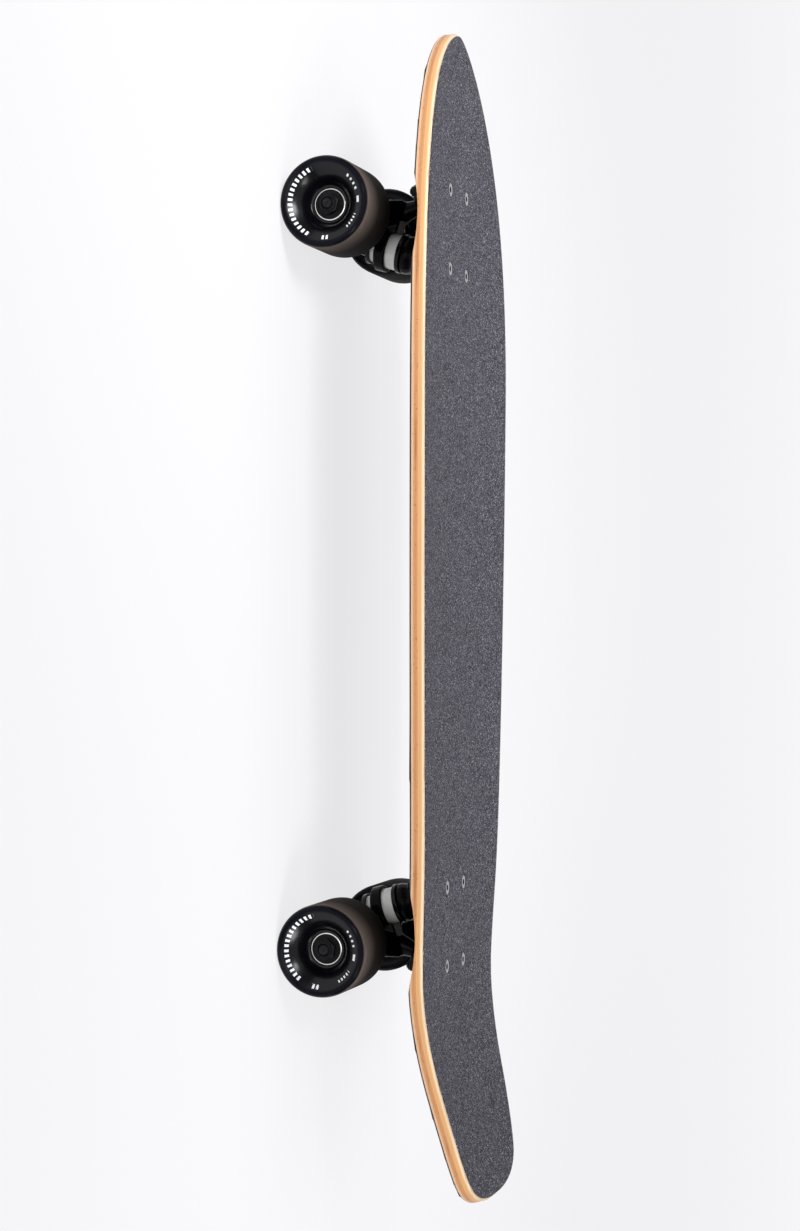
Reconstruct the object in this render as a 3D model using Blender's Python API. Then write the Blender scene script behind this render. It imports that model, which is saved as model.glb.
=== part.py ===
"""Cruiser skateboard: a pressed plywood deck with a kicktail on two kingpin trucks and four soft wheels.

Metres. +X points to the nose, +Y to the board's left and +Z up. The origin is under the middle
of the board's overall length, at the level that the wheels stand on.
"""

import math

import bmesh
import bpy
from mathutils import Matrix, Vector

# Clearances
SEAT = 0.0003  # between pieces that touch
RUN = 0.0002  # radial, between a shaft and what turns on it
BOLT_SLACK = 0.0003  # radial, around the mounting bolts
CUT_PAST = 0.01  # how far a cutter runs on past what it cuts

# Layout
WHEELBASE = 0.4978  # axle to axle
AXLE_TO_PATTERN = 0.0103  # each bolt pattern's centre lies this far inboard of its axle
PATTERN_LENGTH = 0.05398
PATTERN_WIDTH = 0.04128

# Deck outline, seen flat: each value is for one half
NOSE_LENGTH = 0.1273  # front axle to nose tip
TAIL_LENGTH = 0.1836  # rear axle to tail tip, before the tail is bent up
DECK_WIDTH = 0.2112
WIDEST_FORWARD = 0.137  # from mid-wheelbase to the widest point
NOSE_ROUNDNESS = 0.0165  # length of the curve's handle across the nose tip
NOSE_FULLNESS = 0.2055  # length of the curve's handle at the widest point
SIDE_HANDLE = 0.030
TAIL_CORNER_WIDTH = 0.1210
TAIL_CORNER_LENGTH = 0.0232
TAIL_TAPER = math.radians(33.4)
TAPER_HANDLE = 0.0935
CORNER_HANDLE = 0.0155
TAIL_ROUNDNESS = 0.0080

# Deck surface
DECK_THICKNESS = 0.0104
DECK_EDGE_RADIUS = 0.0022
CONCAVE_DEPTH = 0.0073
CONCAVE_FLAT_WIDTH = 0.030
CONCAVE_EASE = 0.46  # share of the concave that is lost where the tail bends up
CONCAVE_EASE_BEHIND = 0.024  # behind the rear axle
CONCAVE_EASE_SPREAD = 0.057
KICK_START = 0.0158  # behind the rear axle
KICK_RADIUS = 0.338
KICK_ANGLE = math.radians(14.5)
WELL_TOP = 0.0087  # highest point of a wheel well, above the deck's flat underside
WELL_INSET = 0.0137  # from the deck's edge to that point
WELL_RADIUS = 0.125
WELL_REACH = 0.050  # how far the wheel well runs in from the deck's edge
WELL_TILT = math.radians(11.5)
STRIP_SHARES = (0, 0.34, 0.58, 0.8)  # cuts along the board, from the flat middle out to the edge
EASE_STRIPS = (0.7, 1.2, 1.8)  # cuts across it, in spreads of the concave's ease
BEND_STRIPS = 4

# Grip tape
GRIP_THICKNESS = 0.0007
GRIP_GAP = 0.00015
GRIP_BORDER = 0.0015

# Trucks: local x runs outboard from the axle, z up from it
RISER_THICKNESS = 0.003
RISER_MARGIN = 0.0007
TRUCK_HEIGHT = 0.052
PLATE_THICKNESS = 0.0065
PLATE_WIDTH = 0.0546
PLATE_END_MARGIN = 0.0113  # from a bolt's centre to the plate's end
PLATE_CORNER = 0.007
PLATE_EDGE = 0.0012
KINGPIN_LEAN = math.radians(15)
PIVOT_ANGLE = math.radians(42)  # of the line that the hanger turns about
RING_BACK = 0.0197
RING_UP = 0.0142
PIVOT_REACH = 0.041  # ring centre to the centre of the pivot's ball
RING_RADIUS = 0.0153
RING_THICKNESS = 0.0076
RING_HOLE_RADIUS = 0.0066
SEAT_DEPTH = 0.0015
HANGER_END_RADIUS = 0.0092
HANGER_MID_RADIUS = 0.0106
BARREL_THICK_TO = 0.35  # share of its half length
BARREL_THIN_FROM = 0.8
CASTING_EDGE = 0.0008
WEB_WIDTH = 0.034  # of the web between the ring and the barrel
YOKE_SPREAD = 0.094  # of the yoke's foot along the barrel
YOKE_TOP_WIDTH = 0.017
YOKE_TOP = 0.0295
YOKE_FACE = 0.0134  # the yoke's outboard face at its top
YOKE_BACK = 0.0022  # how far the top reaches inboard of the axle
YOKE_SLOPE = 0.0025  # how much lower the top's inboard edge lies
YOKE_EDGE = 0.0015
BOSS_ROOM = 0.0025  # around the upper washer, for steering
WASHER_ROOM = 0.0014  # around the lower washer
NECK_SPREAD = math.radians(36)  # to each side, round the ring
NECK_RISE = 0.0028  # above the ring's face
NECK_INSET = 0.8  # of the radii of the edges that it runs into
NECK_TOP_WIDTH = 0.0153
NECK_FOOT_WIDTH = 0.0272
NUT_ROOM = 0.0017  # around the kingpin nut
RELIEF_SWING = 0.005
NOSE_ANGLE = math.radians(70)
NOSE_RADIUS = 0.0056
NECK_RADIUS = 0.005  # where the nose leaves its cup
NOSE_ROOT_RADIUS = 0.0078
NOSE_LENGTH_IN_YOKE = 0.0125
CUP_WALL = 0.0018
CUP_END_WALL = 0.00126
CUP_MOUTH = 0.0042
HOUSING_WALL = 0.0022
HOUSING_EDGE = 0.0012
BOSS_RADIUS = 0.0135
BOSS_TOP_RADIUS = 0.0118
BOSS_SHOULDER = 0.0035  # height of the boss's widest part
BOSS_TAPER = 0.0045
RIB_THICKNESS = 0.008

# Kingpin stack, measured along the kingpin
KINGPIN_RADIUS = 0.00476
KINGPIN_HEAD_FLATS = 0.0143
KINGPIN_HEAD_HEIGHT = 0.006
KINGPIN_HEAD_AT = 0.0296
KINGPIN_TIP = 0.0015
KINGPIN_EDGE = 0.0008
KINGPIN_NUT_HEIGHT = 0.0076
BOARDSIDE_RADIUS = 0.0124
BOARDSIDE_HEIGHT = 0.0097
ROADSIDE_RADIUS = 0.0106
ROADSIDE_END_RADIUS = 0.0102
ROADSIDE_HEIGHT = 0.0067
BUSHING_EDGE = 0.0008
WASHER_THICKNESS = 0.0017
WASHER_LIP_WALL = 0.001
WASHER_LIP_DEPTH = 0.0014
WASHER_EDGE = 0.0007

# Wheels, bearings and axle
WHEEL_RADIUS = 0.031
WHEEL_WIDTH = 0.055
TRACK = 0.195  # over the wheels' outer faces
HUB_DEPTH = 0.0152  # from a wheel's side to its bearing
HUB_FACE_WIDTH = 0.0028
WHEEL_LIP_RADIUS = 0.0289
WHEEL_EDGE = 0.0034
DISH_RADIUS = 0.0245
DISH_DEPTH = 0.0020
DISH_MID_DEPTH = 0.0072  # halfway between the dish's rim and the hub
BEARING_RADIUS = 0.011
BEARING_WIDTH = 0.007
BEARING_BORE = 0.008
RACE_WIDTH = 0.0016
SHIELD_DEPTH = 0.0004
WHEEL_WEB_STEP = 0.0015
SPACER_RADIUS = 0.0054
AXLE_END = 0.0081  # from a wheel's outer face down to the axle's end
AXLE_CHAMFER = 0.0006
AXLE_NUT_FLATS = 0.0127
AXLE_NUT_HEIGHT = 0.006

# Mounting bolts
BOLT_RADIUS = 0.0024
BOLT_HEAD_RADIUS = 0.0046
BOLT_HEAD_HEIGHT = 0.0026
BOLT_LENGTH = 0.0286
BOLT_SOCKET_FLATS = 0.0032
BOLT_SOCKET_DEPTH = 0.0015
BOLT_SUNK = 0.0003
LOCK_NUT_FLATS = 0.008
LOCK_NUT_HEIGHT = 0.0063

# Shapes that all the nuts share
NUT_CHAMFER = 0.06  # share of the width across flats
ON_RADIUS = 0.00001  # a point this far out still counts as lying on the radius

# Facets round a full turn, and in a ball's quarter arc
WELL_SIDES = 60
ARC_STEPS = 5
WHEEL_SIDES = 28
RING_SIDES = 24
ROUND_SIDES = 20
CAST_SIDES = 16
BEARING_SIDES = 12
SMALL_SIDES = 12
EDGE_SIDES = 8

# Places that follow from the sizes above
AXLE_Z = WHEEL_RADIUS
PLATE_TOP = TRUCK_HEIGHT
PLATE_BOTTOM = PLATE_TOP - PLATE_THICKNESS
RISER_BOTTOM = AXLE_Z + PLATE_TOP + SEAT
DECK_BOTTOM = RISER_BOTTOM + RISER_THICKNESS + SEAT
GRIP_TOP = DECK_BOTTOM + DECK_THICKNESS + GRIP_GAP + GRIP_THICKNESS
HALF_DECK = DECK_WIDTH / 2
NOSE_X = WHEELBASE / 2 + NOSE_LENGTH
TAIL_X = -WHEELBASE / 2 - TAIL_LENGTH
KICK_X = -WHEELBASE / 2 - KICK_START
PATTERN_X = -AXLE_TO_PATTERN
WHEEL_IN = TRACK / 2 - WHEEL_WIDTH
BEARING_BORE_RADIUS = BEARING_BORE / 2 + RUN / 2
AXLE_RADIUS = BEARING_BORE / 2 - RUN / 2
BEARING_SEAT_RADIUS = BEARING_RADIUS + RUN
RING_CENTRE = Vector((-RING_BACK, 0, RING_UP))
PIVOT_AXIS = Vector((math.cos(PIVOT_ANGLE), 0, math.sin(PIVOT_ANGLE)))
PIVOT_CENTRE = RING_CENTRE + PIVOT_AXIS * PIVOT_REACH
CUP_BORE_RADIUS = NOSE_RADIUS + SEAT
CUP_RADIUS = CUP_BORE_RADIUS + CUP_WALL
CUP_END = CUP_BORE_RADIUS + CUP_END_WALL
HOUSING_BORE_RADIUS = CUP_RADIUS + SEAT
HOUSING_RADIUS = HOUSING_BORE_RADIUS + HOUSING_WALL
RING_SEAT = RING_THICKNESS / 2 - SEAT_DEPTH
BOARDSIDE_FROM = RING_SEAT + SEAT
BOARDSIDE_TO = BOARDSIDE_FROM + BOARDSIDE_HEIGHT
BOARDSIDE_WASHER_FROM = BOARDSIDE_TO + SEAT
BOARDSIDE_WASHER_RADIUS = BOARDSIDE_RADIUS + SEAT + WASHER_LIP_WALL
BOSS_FROM = BOARDSIDE_WASHER_FROM + WASHER_THICKNESS + SEAT
ROADSIDE_FROM = -RING_SEAT - SEAT
ROADSIDE_TO = ROADSIDE_FROM - ROADSIDE_HEIGHT
ROADSIDE_WASHER_FROM = ROADSIDE_TO - SEAT
ROADSIDE_WASHER_RADIUS = ROADSIDE_RADIUS + SEAT + WASHER_LIP_WALL
KINGPIN_NUT_FROM = ROADSIDE_WASHER_FROM - WASHER_THICKNESS - SEAT
KINGPIN_END = KINGPIN_NUT_FROM - KINGPIN_NUT_HEIGHT - KINGPIN_TIP
KINGPIN_HOLE_RADIUS = KINGPIN_RADIUS + SEAT
HANGER_WIDTH = 2 * (WHEEL_IN + HUB_DEPTH - SEAT)

# Local frames: z along the kingpin, along the pivot nose, or along the axle
KINGPIN_FRAME = Matrix.Translation(RING_CENTRE) @ Matrix.Rotation(-KINGPIN_LEAN, 4, "Y")
NOSE_FRAME = Matrix.Translation(PIVOT_CENTRE) @ Matrix.Rotation(math.pi / 2 - NOSE_ANGLE, 4, "Y")
AXLE_FRAME = Matrix.Rotation(-math.pi / 2, 4, "X")


def clear_scene():
    """Remove whatever the scene holds."""
    for thing in list(bpy.data.objects):
        bpy.data.objects.remove(thing, do_unlink=True)


def make_material(name, colour, roughness, metallic=0.0):
    """A plain Principled material."""
    material = bpy.data.materials.new(name)
    material.use_nodes = True
    shader = material.node_tree.nodes["Principled BSDF"]
    shader.inputs["Base Color"].default_value = (*colour, 1)
    shader.inputs["Roughness"].default_value = roughness
    shader.inputs["Metallic"].default_value = metallic
    return material


def add_object(name, shape, parent, material=None, frame=None):
    """An object from a bmesh. Without a material it is a helper for a Boolean and isn't rendered."""
    bmesh.ops.remove_doubles(shape, verts=shape.verts, dist=1e-7)
    bmesh.ops.recalc_face_normals(shape, faces=shape.faces)
    mesh = bpy.data.meshes.new(name)
    shape.to_mesh(mesh)
    shape.free()
    mesh.shade_smooth()
    mesh.set_sharp_from_angle(angle=math.radians(35))
    thing = bpy.data.objects.new(name, mesh)
    bpy.context.scene.collection.objects.link(thing)
    thing.parent = parent
    thing.matrix_local = frame or Matrix.Identity(4)
    if material:
        mesh.materials.append(material)
    else:
        thing.hide_render = True
        thing.display_type = "WIRE"
    return thing


def combine(thing, helper, operation):
    """Join a helper's shape to an object, or cut it away."""
    modifier = thing.modifiers.new(helper.name, "BOOLEAN")
    modifier.operation = operation
    modifier.object = helper
    modifier.solver = "EXACT"


def add_empty(name, location, turn=0.0, parent=None):
    """An empty that carries the pieces of one assembly."""
    empty = bpy.data.objects.new(name, None)
    bpy.context.scene.collection.objects.link(empty)
    empty.location = location
    empty.rotation_euler = (0, 0, turn)
    empty.parent = parent
    return empty


def turned(profile, sides, closed=True):
    """A solid of revolution about z from (radius, height) points. An open profile ends on the axis."""
    shape = bmesh.new()
    points = [shape.verts.new((radius, 0, height)) for radius, height in profile]
    pairs = list(zip(points, points[1:]))
    if closed:
        pairs.append((points[-1], points[0]))
    edges = [shape.edges.new(pair) for pair in pairs]
    bmesh.ops.spin(
        shape, geom=points + edges, cent=(0, 0, 0), axis=(0, 0, 1),
        angle=math.tau, steps=sides, use_merge=True, use_duplicate=False,
    )
    bmesh.ops.remove_doubles(shape, verts=shape.verts, dist=1e-7)
    bmesh.ops.recalc_face_normals(shape, faces=shape.faces)
    return shape


def rod(radius, low, high, sides):
    """A plain cylinder about z."""
    return turned([(0, low), (radius, low), (radius, high), (0, high)], sides, closed=False)


def squeeze_to_hexagon(shape, flats, inner_radius):
    """Pull every point outside inner_radius in to a hexagon, which leaves smaller chamfered rings round."""
    for point in shape.verts:
        radius = math.hypot(point.co.x, point.co.y)
        if radius <= inner_radius:
            continue
        angle = math.atan2(point.co.y, point.co.x) % (math.pi / 3) - math.pi / 6
        limit = flats / 2 / math.cos(angle)
        if radius > limit:
            point.co.x *= limit / radius
            point.co.y *= limit / radius


def hexagon_radius(flats):
    return flats / math.sqrt(3)


def hull(points):
    """The convex solid around a set of points."""
    shape = bmesh.new()
    for point in points:
        shape.verts.new(point)
    bmesh.ops.convex_hull(shape, input=shape.verts, use_existing_faces=False)
    loose = [point for point in shape.verts if not point.link_faces]
    bmesh.ops.delete(shape, geom=loose, context="VERTS")
    return shape


def circle_points(frame, radius, height, sides):
    """Points of a circle about a frame's z axis."""
    turn = math.tau / sides
    return [
        frame @ Vector((radius * math.cos(i * turn), radius * math.sin(i * turn), height))
        for i in range(sides)
    ]


def block(low, high):
    """A box between two corners."""
    shape = bmesh.new()
    bmesh.ops.create_cube(shape, size=1)
    low, high = Vector(low), Vector(high)
    bmesh.ops.scale(shape, vec=high - low, verts=shape.verts)
    bmesh.ops.translate(shape, vec=(low + high) / 2, verts=shape.verts)
    return shape


def bezier(start, leave, arrive, end, steps):
    """Points along a cubic curve, without its last one."""
    points = []
    for i in range(steps):
        t = i / steps
        weights = ((1 - t) ** 3, 3 * t * (1 - t) ** 2, 3 * t * t * (1 - t), t**3)
        terms = [weight * point for weight, point in zip(weights, (start, leave, arrive, end))]
        points.append(sum(terms, Vector((0, 0))))
    return points


def deck_half_outline():
    """The left half of the flat deck's outline, from nose tip to tail tip."""
    nose = Vector((NOSE_X, 0))
    widest = Vector((WIDEST_FORWARD, HALF_DECK))
    corner = Vector((TAIL_X + TAIL_CORNER_LENGTH, TAIL_CORNER_WIDTH / 2))
    taper = Vector((math.cos(TAIL_TAPER), math.sin(TAIL_TAPER)))
    tail = Vector((TAIL_X, 0))
    forward, across = Vector((1, 0)), Vector((0, 1))
    points = bezier(nose, nose + across * NOSE_ROUNDNESS, widest + forward * NOSE_FULLNESS, widest, 16)
    points += bezier(widest, widest - forward * SIDE_HANDLE, corner + taper * TAPER_HANDLE, corner, 14)
    points += bezier(corner, corner - taper * CORNER_HANDLE, tail + across * TAIL_ROUNDNESS, tail, 7)
    return points + [tail]


def deck_outline(inset):
    """The whole outline, moved in by inset."""
    half = deck_half_outline()
    moved = []
    for i, point in enumerate(half):
        if i in (0, len(half) - 1):
            direction = Vector((-1, 0)) if i == 0 else Vector((1, 0))
        else:
            along = half[i + 1] - half[i - 1]
            direction = Vector((-along.y, along.x)).normalized()
        moved.append(point + direction * inset)
    return moved + [Vector((point.x, -point.y)) for point in moved[-2:0:-1]]


def deck_place(x, y, height):
    """Where a point of the flat board lies after pressing. Height is above the deck's underside."""
    slope = math.exp(-(((x + WHEELBASE / 2 + CONCAVE_EASE_BEHIND) / CONCAVE_EASE_SPREAD) ** 2))
    rise = max(abs(y) - CONCAVE_FLAT_WIDTH / 2, 0) / (HALF_DECK - CONCAVE_FLAT_WIDTH / 2)
    height += CONCAVE_DEPTH * (1 - CONCAVE_EASE * slope) * rise**2
    past = KICK_X - x
    if past <= 0:
        return Vector((x, y, DECK_BOTTOM + height))
    angle = min(past / KICK_RADIUS, KICK_ANGLE)
    straight = max(past - KICK_RADIUS * KICK_ANGLE, 0)
    along = KICK_RADIUS * math.sin(angle) + straight * math.cos(angle)
    up = KICK_RADIUS * (1 - math.cos(angle)) + straight * math.sin(angle)
    x = KICK_X - along + height * math.sin(angle)
    return Vector((x, y, DECK_BOTTOM + up + height * math.cos(angle)))


def pressed_sheet(outline, low, high, edge_radius):
    """A flat sheet of this outline, cut into strips, given its thickness and then pressed to shape."""
    shape = bmesh.new()
    shape.faces.new([shape.verts.new((point.x, point.y, low)) for point in outline])
    flat_edge = CONCAVE_FLAT_WIDTH / 2
    strips = [flat_edge + (HALF_DECK - flat_edge) * share for share in STRIP_SHARES]
    cuts = [((0, side * y, 0), (0, 1, 0)) for y in strips for side in (-1, 1)]
    bend = KICK_RADIUS * KICK_ANGLE
    cuts += [((KICK_X - bend * i / BEND_STRIPS, 0, 0), (1, 0, 0)) for i in range(BEND_STRIPS + 1)]
    ease_x = -WHEELBASE / 2 - CONCAVE_EASE_BEHIND
    cuts += [((ease_x + CONCAVE_EASE_SPREAD * share, 0, 0), (1, 0, 0)) for share in EASE_STRIPS]
    for place, normal in cuts:
        geometry = shape.verts[:] + shape.edges[:] + shape.faces[:]
        bmesh.ops.bisect_plane(shape, geom=geometry, dist=1e-7, plane_co=place, plane_no=normal)
    raised = bmesh.ops.extrude_face_region(shape, geom=shape.faces[:])["geom"]
    raised = [item for item in raised if isinstance(item, bmesh.types.BMVert)]
    bmesh.ops.translate(shape, vec=(0, 0, high - low), verts=raised)
    bmesh.ops.recalc_face_normals(shape, faces=shape.faces)
    if edge_radius:
        rim = [edge for edge in shape.edges if edge.calc_face_angle(0) > 1]
        rim = [edge for edge in rim if abs(edge.verts[0].co.z - edge.verts[1].co.z) < 1e-6]
        bmesh.ops.bevel(
            shape, geom=rim, offset=edge_radius, segments=2, profile=0.5,
            affect="EDGES", material=-1,
        )
    for point in shape.verts:
        point.co = deck_place(*point.co)
    return shape


def bolt_places():
    """The four bolts of a truck, in its local frame."""
    return [
        (PATTERN_X + end * PATTERN_LENGTH / 2, side * PATTERN_WIDTH / 2)
        for end in (1, -1)
        for side in (1, -1)
    ]


def bolt_cutter():
    """The hole for one mounting bolt, with its countersink open at the top."""
    shank = BOLT_RADIUS + BOLT_SLACK
    head = BOLT_HEAD_RADIUS + BOLT_SLACK
    head_top = GRIP_TOP - AXLE_Z - BOLT_SUNK - BOLT_SLACK / 2
    end = GRIP_TOP - AXLE_Z + CUT_PAST
    return turned(
        [(0, 0), (shank, 0), (shank, head_top - BOLT_HEAD_HEIGHT), (head, head_top), (head, end), (0, end)],
        SMALL_SIDES, closed=False,
    )


def make_deck(board, trucks, wood, grit):
    """The plywood deck with its wheel wells, and the grip tape on it, both with holes for the bolts."""
    plies = pressed_sheet(deck_outline(0), 0, DECK_THICKNESS, DECK_EDGE_RADIUS)
    deck = add_object("deck", plies, board, wood)
    base = DECK_THICKNESS + GRIP_GAP
    sheet = pressed_sheet(deck_outline(GRIP_BORDER), base, base + GRIP_THICKNESS, 0)
    grip = add_object("grip_tape", sheet, board, grit)
    for truck in trucks:
        for number, (x, y) in enumerate(bolt_places(), 1):
            frame = Matrix.Translation((x, y, 0))
            cutter = add_object(f"{truck.name}_hole_{number}", bolt_cutter(), truck, frame=frame)
            combine(deck, cutter, "DIFFERENCE")
            combine(grip, cutter, "DIFFERENCE")
        for side in (1, -1):
            combine(deck, wheel_well(truck, side), "DIFFERENCE")


def wheel_well(truck, side):
    """A wide drum that sands a shallow hollow into the deck's lower edge over a wheel."""
    top = DECK_BOTTOM - AXLE_Z + WELL_TOP
    place = Matrix.Translation((PATTERN_X, side * (HALF_DECK - WELL_INSET), top))
    tilt = Matrix.Rotation(side * WELL_TILT, 4, "X")
    drum = rod(WELL_RADIUS, -WELL_REACH, WELL_REACH, WELL_SIDES)
    drop = Matrix.Translation((0, 0, -WELL_RADIUS))
    name = f"{truck.name}_well_{'left' if side > 0 else 'right'}"
    return add_object(name, drum, truck, frame=place @ tilt @ drop @ AXLE_FRAME)


def plate_shape(low, high, margin, edge):
    """A rounded plate around the bolt pattern."""
    half_length = PATTERN_LENGTH / 2 + PLATE_END_MARGIN + margin
    half_width = PLATE_WIDTH / 2 + margin
    shape = block((PATTERN_X - half_length, -half_width, low), (PATTERN_X + half_length, half_width, high))
    upright = [e for e in shape.edges if abs(e.verts[0].co.z - e.verts[1].co.z) > 1e-6]
    bmesh.ops.bevel(
        shape, geom=upright, offset=PLATE_CORNER + margin, segments=4, profile=0.5,
        affect="EDGES", material=-1,
    )
    if edge:
        rim = [e for e in shape.edges if max(v.co.z for v in e.verts) < low + 1e-6]
        bmesh.ops.bevel(
            shape, geom=rim, offset=edge, segments=1, profile=0.5, affect="EDGES", material=-1
        )
    return shape


def make_riser(truck, rubber):
    """The thin pad between the baseplate and the deck."""
    low = PLATE_TOP + SEAT
    high = low + RISER_THICKNESS
    pad = plate_shape(low, high, RISER_MARGIN, 0)
    riser = add_object(f"{truck.name}_riser_pad", pad, truck, rubber)
    drill_pattern(riser, truck, low, high)


def drill_pattern(thing, truck, low, high):
    """Cut the four bolt holes through an object that lies between two heights."""
    for number, (x, y) in enumerate(bolt_places(), 1):
        hole = rod(BOLT_RADIUS + BOLT_SLACK, low - CUT_PAST, high + CUT_PAST, SMALL_SIDES)
        frame = Matrix.Translation((x, y, 0))
        combine(thing, add_object(f"{thing.name}_hole_{number}", hole, truck, frame=frame), "DIFFERENCE")


def housing_shape():
    """The slanted boss that holds the pivot cup."""
    end = CUP_END + SEAT + HOUSING_WALL
    return turned(
        [(0, -CUP_MOUTH), (HOUSING_RADIUS - HOUSING_EDGE, -CUP_MOUTH),
         (HOUSING_RADIUS, HOUSING_EDGE - CUP_MOUTH), (HOUSING_RADIUS, end), (0, end)],
        ROUND_SIDES, closed=False,
    )


def boss_shape():
    """The boss that the kingpin passes through, wider at its foot."""
    top = (PLATE_TOP - RING_UP) / math.cos(KINGPIN_LEAN) + BOSS_RADIUS / 2
    shoulder = BOSS_FROM + BOSS_SHOULDER
    return turned(
        [(0, BOSS_FROM), (BOSS_RADIUS - CASTING_EDGE, BOSS_FROM), (BOSS_RADIUS, BOSS_FROM + CASTING_EDGE),
         (BOSS_RADIUS, shoulder), (BOSS_TOP_RADIUS, shoulder + BOSS_TAPER), (BOSS_TOP_RADIUS, top), (0, top)],
        ROUND_SIDES, closed=False,
    )


def kingpin_cutter():
    """The kingpin's hole with the pocket for its head, open at the plate's top."""
    seat = KINGPIN_HEAD_AT - SEAT
    pocket = hexagon_radius(KINGPIN_HEAD_FLATS) + SEAT
    end = PLATE_TOP
    return turned(
        [(0, 0), (KINGPIN_HOLE_RADIUS, 0), (KINGPIN_HOLE_RADIUS, seat),
         (pocket, seat), (pocket, end), (0, end)],
        ROUND_SIDES, closed=False,
    )


def cup_outline(gap):
    """Profile of the pivot cup's outside, grown by gap."""
    radius, end = CUP_RADIUS + gap, CUP_END + gap
    return [(radius, -CUP_MOUTH), (radius, end - CUP_WALL), (radius - CUP_WALL, end)]


def cup_cutter():
    """The pivot cup's seat in the baseplate, open at its mouth."""
    outline = cup_outline(SEAT)
    mouth = -CUP_MOUTH - CUT_PAST
    return turned([(0, mouth), (outline[0][0], mouth), *outline[1:], (0, outline[-1][1])], ROUND_SIDES, False)


def rib_shape():
    """The rib under the plate, from the kingpin boss to the pivot housing."""
    foot = KINGPIN_FRAME @ Vector((0, 0, BOSS_FROM + BOSS_SHOULDER + BOSS_TAPER))
    middle = (PLATE_BOTTOM + PLATE_TOP) / 2
    corners = [(foot.x, foot.z), (foot.x, middle), (PIVOT_CENTRE.x, middle), (PIVOT_CENTRE.x, PLATE_BOTTOM)]
    return hull([(x, side * RIB_THICKNESS / 2, z) for side in (1, -1) for x, z in corners])


def trim_shape():
    """A block that cuts off whatever stands above the plate's top."""
    reach_x = PATTERN_LENGTH / 2 + PLATE_END_MARGIN + CUT_PAST
    reach_y = PLATE_WIDTH / 2 + CUT_PAST
    top = PLATE_TOP + BOSS_RADIUS + CUT_PAST
    return block((PATTERN_X - reach_x, -reach_y, PLATE_TOP), (PATTERN_X + reach_x, reach_y, top))


def make_baseplate(truck, metal):
    """The cast baseplate: plate, pivot housing, kingpin boss and the rib between them."""
    name = f"{truck.name}_baseplate"
    plate = add_object(name, plate_shape(PLATE_BOTTOM, PLATE_TOP, 0, PLATE_EDGE), truck, metal)
    parts = (
        ("housing", housing_shape(), NOSE_FRAME, "UNION"),
        ("boss", boss_shape(), KINGPIN_FRAME, "UNION"),
        ("rib", rib_shape(), None, "UNION"),
        ("trim", trim_shape(), None, "DIFFERENCE"),
        ("cup_bore", cup_cutter(), NOSE_FRAME, "DIFFERENCE"),
        ("kingpin_bore", kingpin_cutter(), KINGPIN_FRAME, "DIFFERENCE"),
    )
    for label, shape, frame, operation in parts:
        combine(plate, add_object(f"{name}_{label}", shape, truck, frame=frame), operation)
    drill_pattern(plate, truck, PLATE_BOTTOM, PLATE_TOP)


def quarter_arc(radius):
    """Points of a ball's profile, from its widest place to just short of its top."""
    turns = [i * math.pi / 2 / ARC_STEPS for i in range(ARC_STEPS)]
    return [(radius * math.cos(turn), radius * math.sin(turn)) for turn in turns]


def make_pivot_cup(truck, urethane):
    """The soft cup that the hanger's nose turns in."""
    inside = [(0, CUP_BORE_RADIUS), *reversed(quarter_arc(CUP_BORE_RADIUS))]
    profile = inside + [(CUP_BORE_RADIUS, -CUP_MOUTH)] + cup_outline(0) + [(0, CUP_END)]
    add_object(f"{truck.name}_pivot_cup", turned(profile, ROUND_SIDES, False), truck, urethane, NOSE_FRAME)


def bushing_profile(from_radius, to_radius, low, high):
    """Section of a bushing with eased edges."""
    edge = BUSHING_EDGE
    return [
        (KINGPIN_HOLE_RADIUS, low), (from_radius - edge, low), (from_radius, low + edge),
        (to_radius, high - edge), (to_radius - edge, high), (KINGPIN_HOLE_RADIUS, high),
    ]


def washer_profile(face, bushing_radius, side):
    """Section of a cupped washer. Its face meets a bushing's end and its lip runs over the bushing."""
    inner = bushing_radius + SEAT
    outer = inner + WASHER_LIP_WALL
    lip = face - side * WASHER_LIP_DEPTH
    back = face + side * WASHER_THICKNESS
    return [
        (KINGPIN_HOLE_RADIUS, face), (inner, face), (inner, lip), (outer, lip),
        (outer, back - side * WASHER_EDGE), (outer - WASHER_EDGE, back), (KINGPIN_HOLE_RADIUS, back),
    ]


def kingpin_shape():
    """The kingpin, with its hexagon head at the top."""
    head_radius = hexagon_radius(KINGPIN_HEAD_FLATS)
    head_to = KINGPIN_HEAD_AT + KINGPIN_HEAD_HEIGHT
    shape = turned(
        [(0, KINGPIN_END), (KINGPIN_RADIUS - KINGPIN_EDGE, KINGPIN_END),
         (KINGPIN_RADIUS, KINGPIN_END + KINGPIN_EDGE), (KINGPIN_RADIUS, KINGPIN_HEAD_AT),
         (head_radius, KINGPIN_HEAD_AT), (head_radius, head_to), (0, head_to)],
        SMALL_SIDES, closed=False,
    )
    squeeze_to_hexagon(shape, KINGPIN_HEAD_FLATS, KINGPIN_RADIUS + ON_RADIUS)
    return shape


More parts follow.
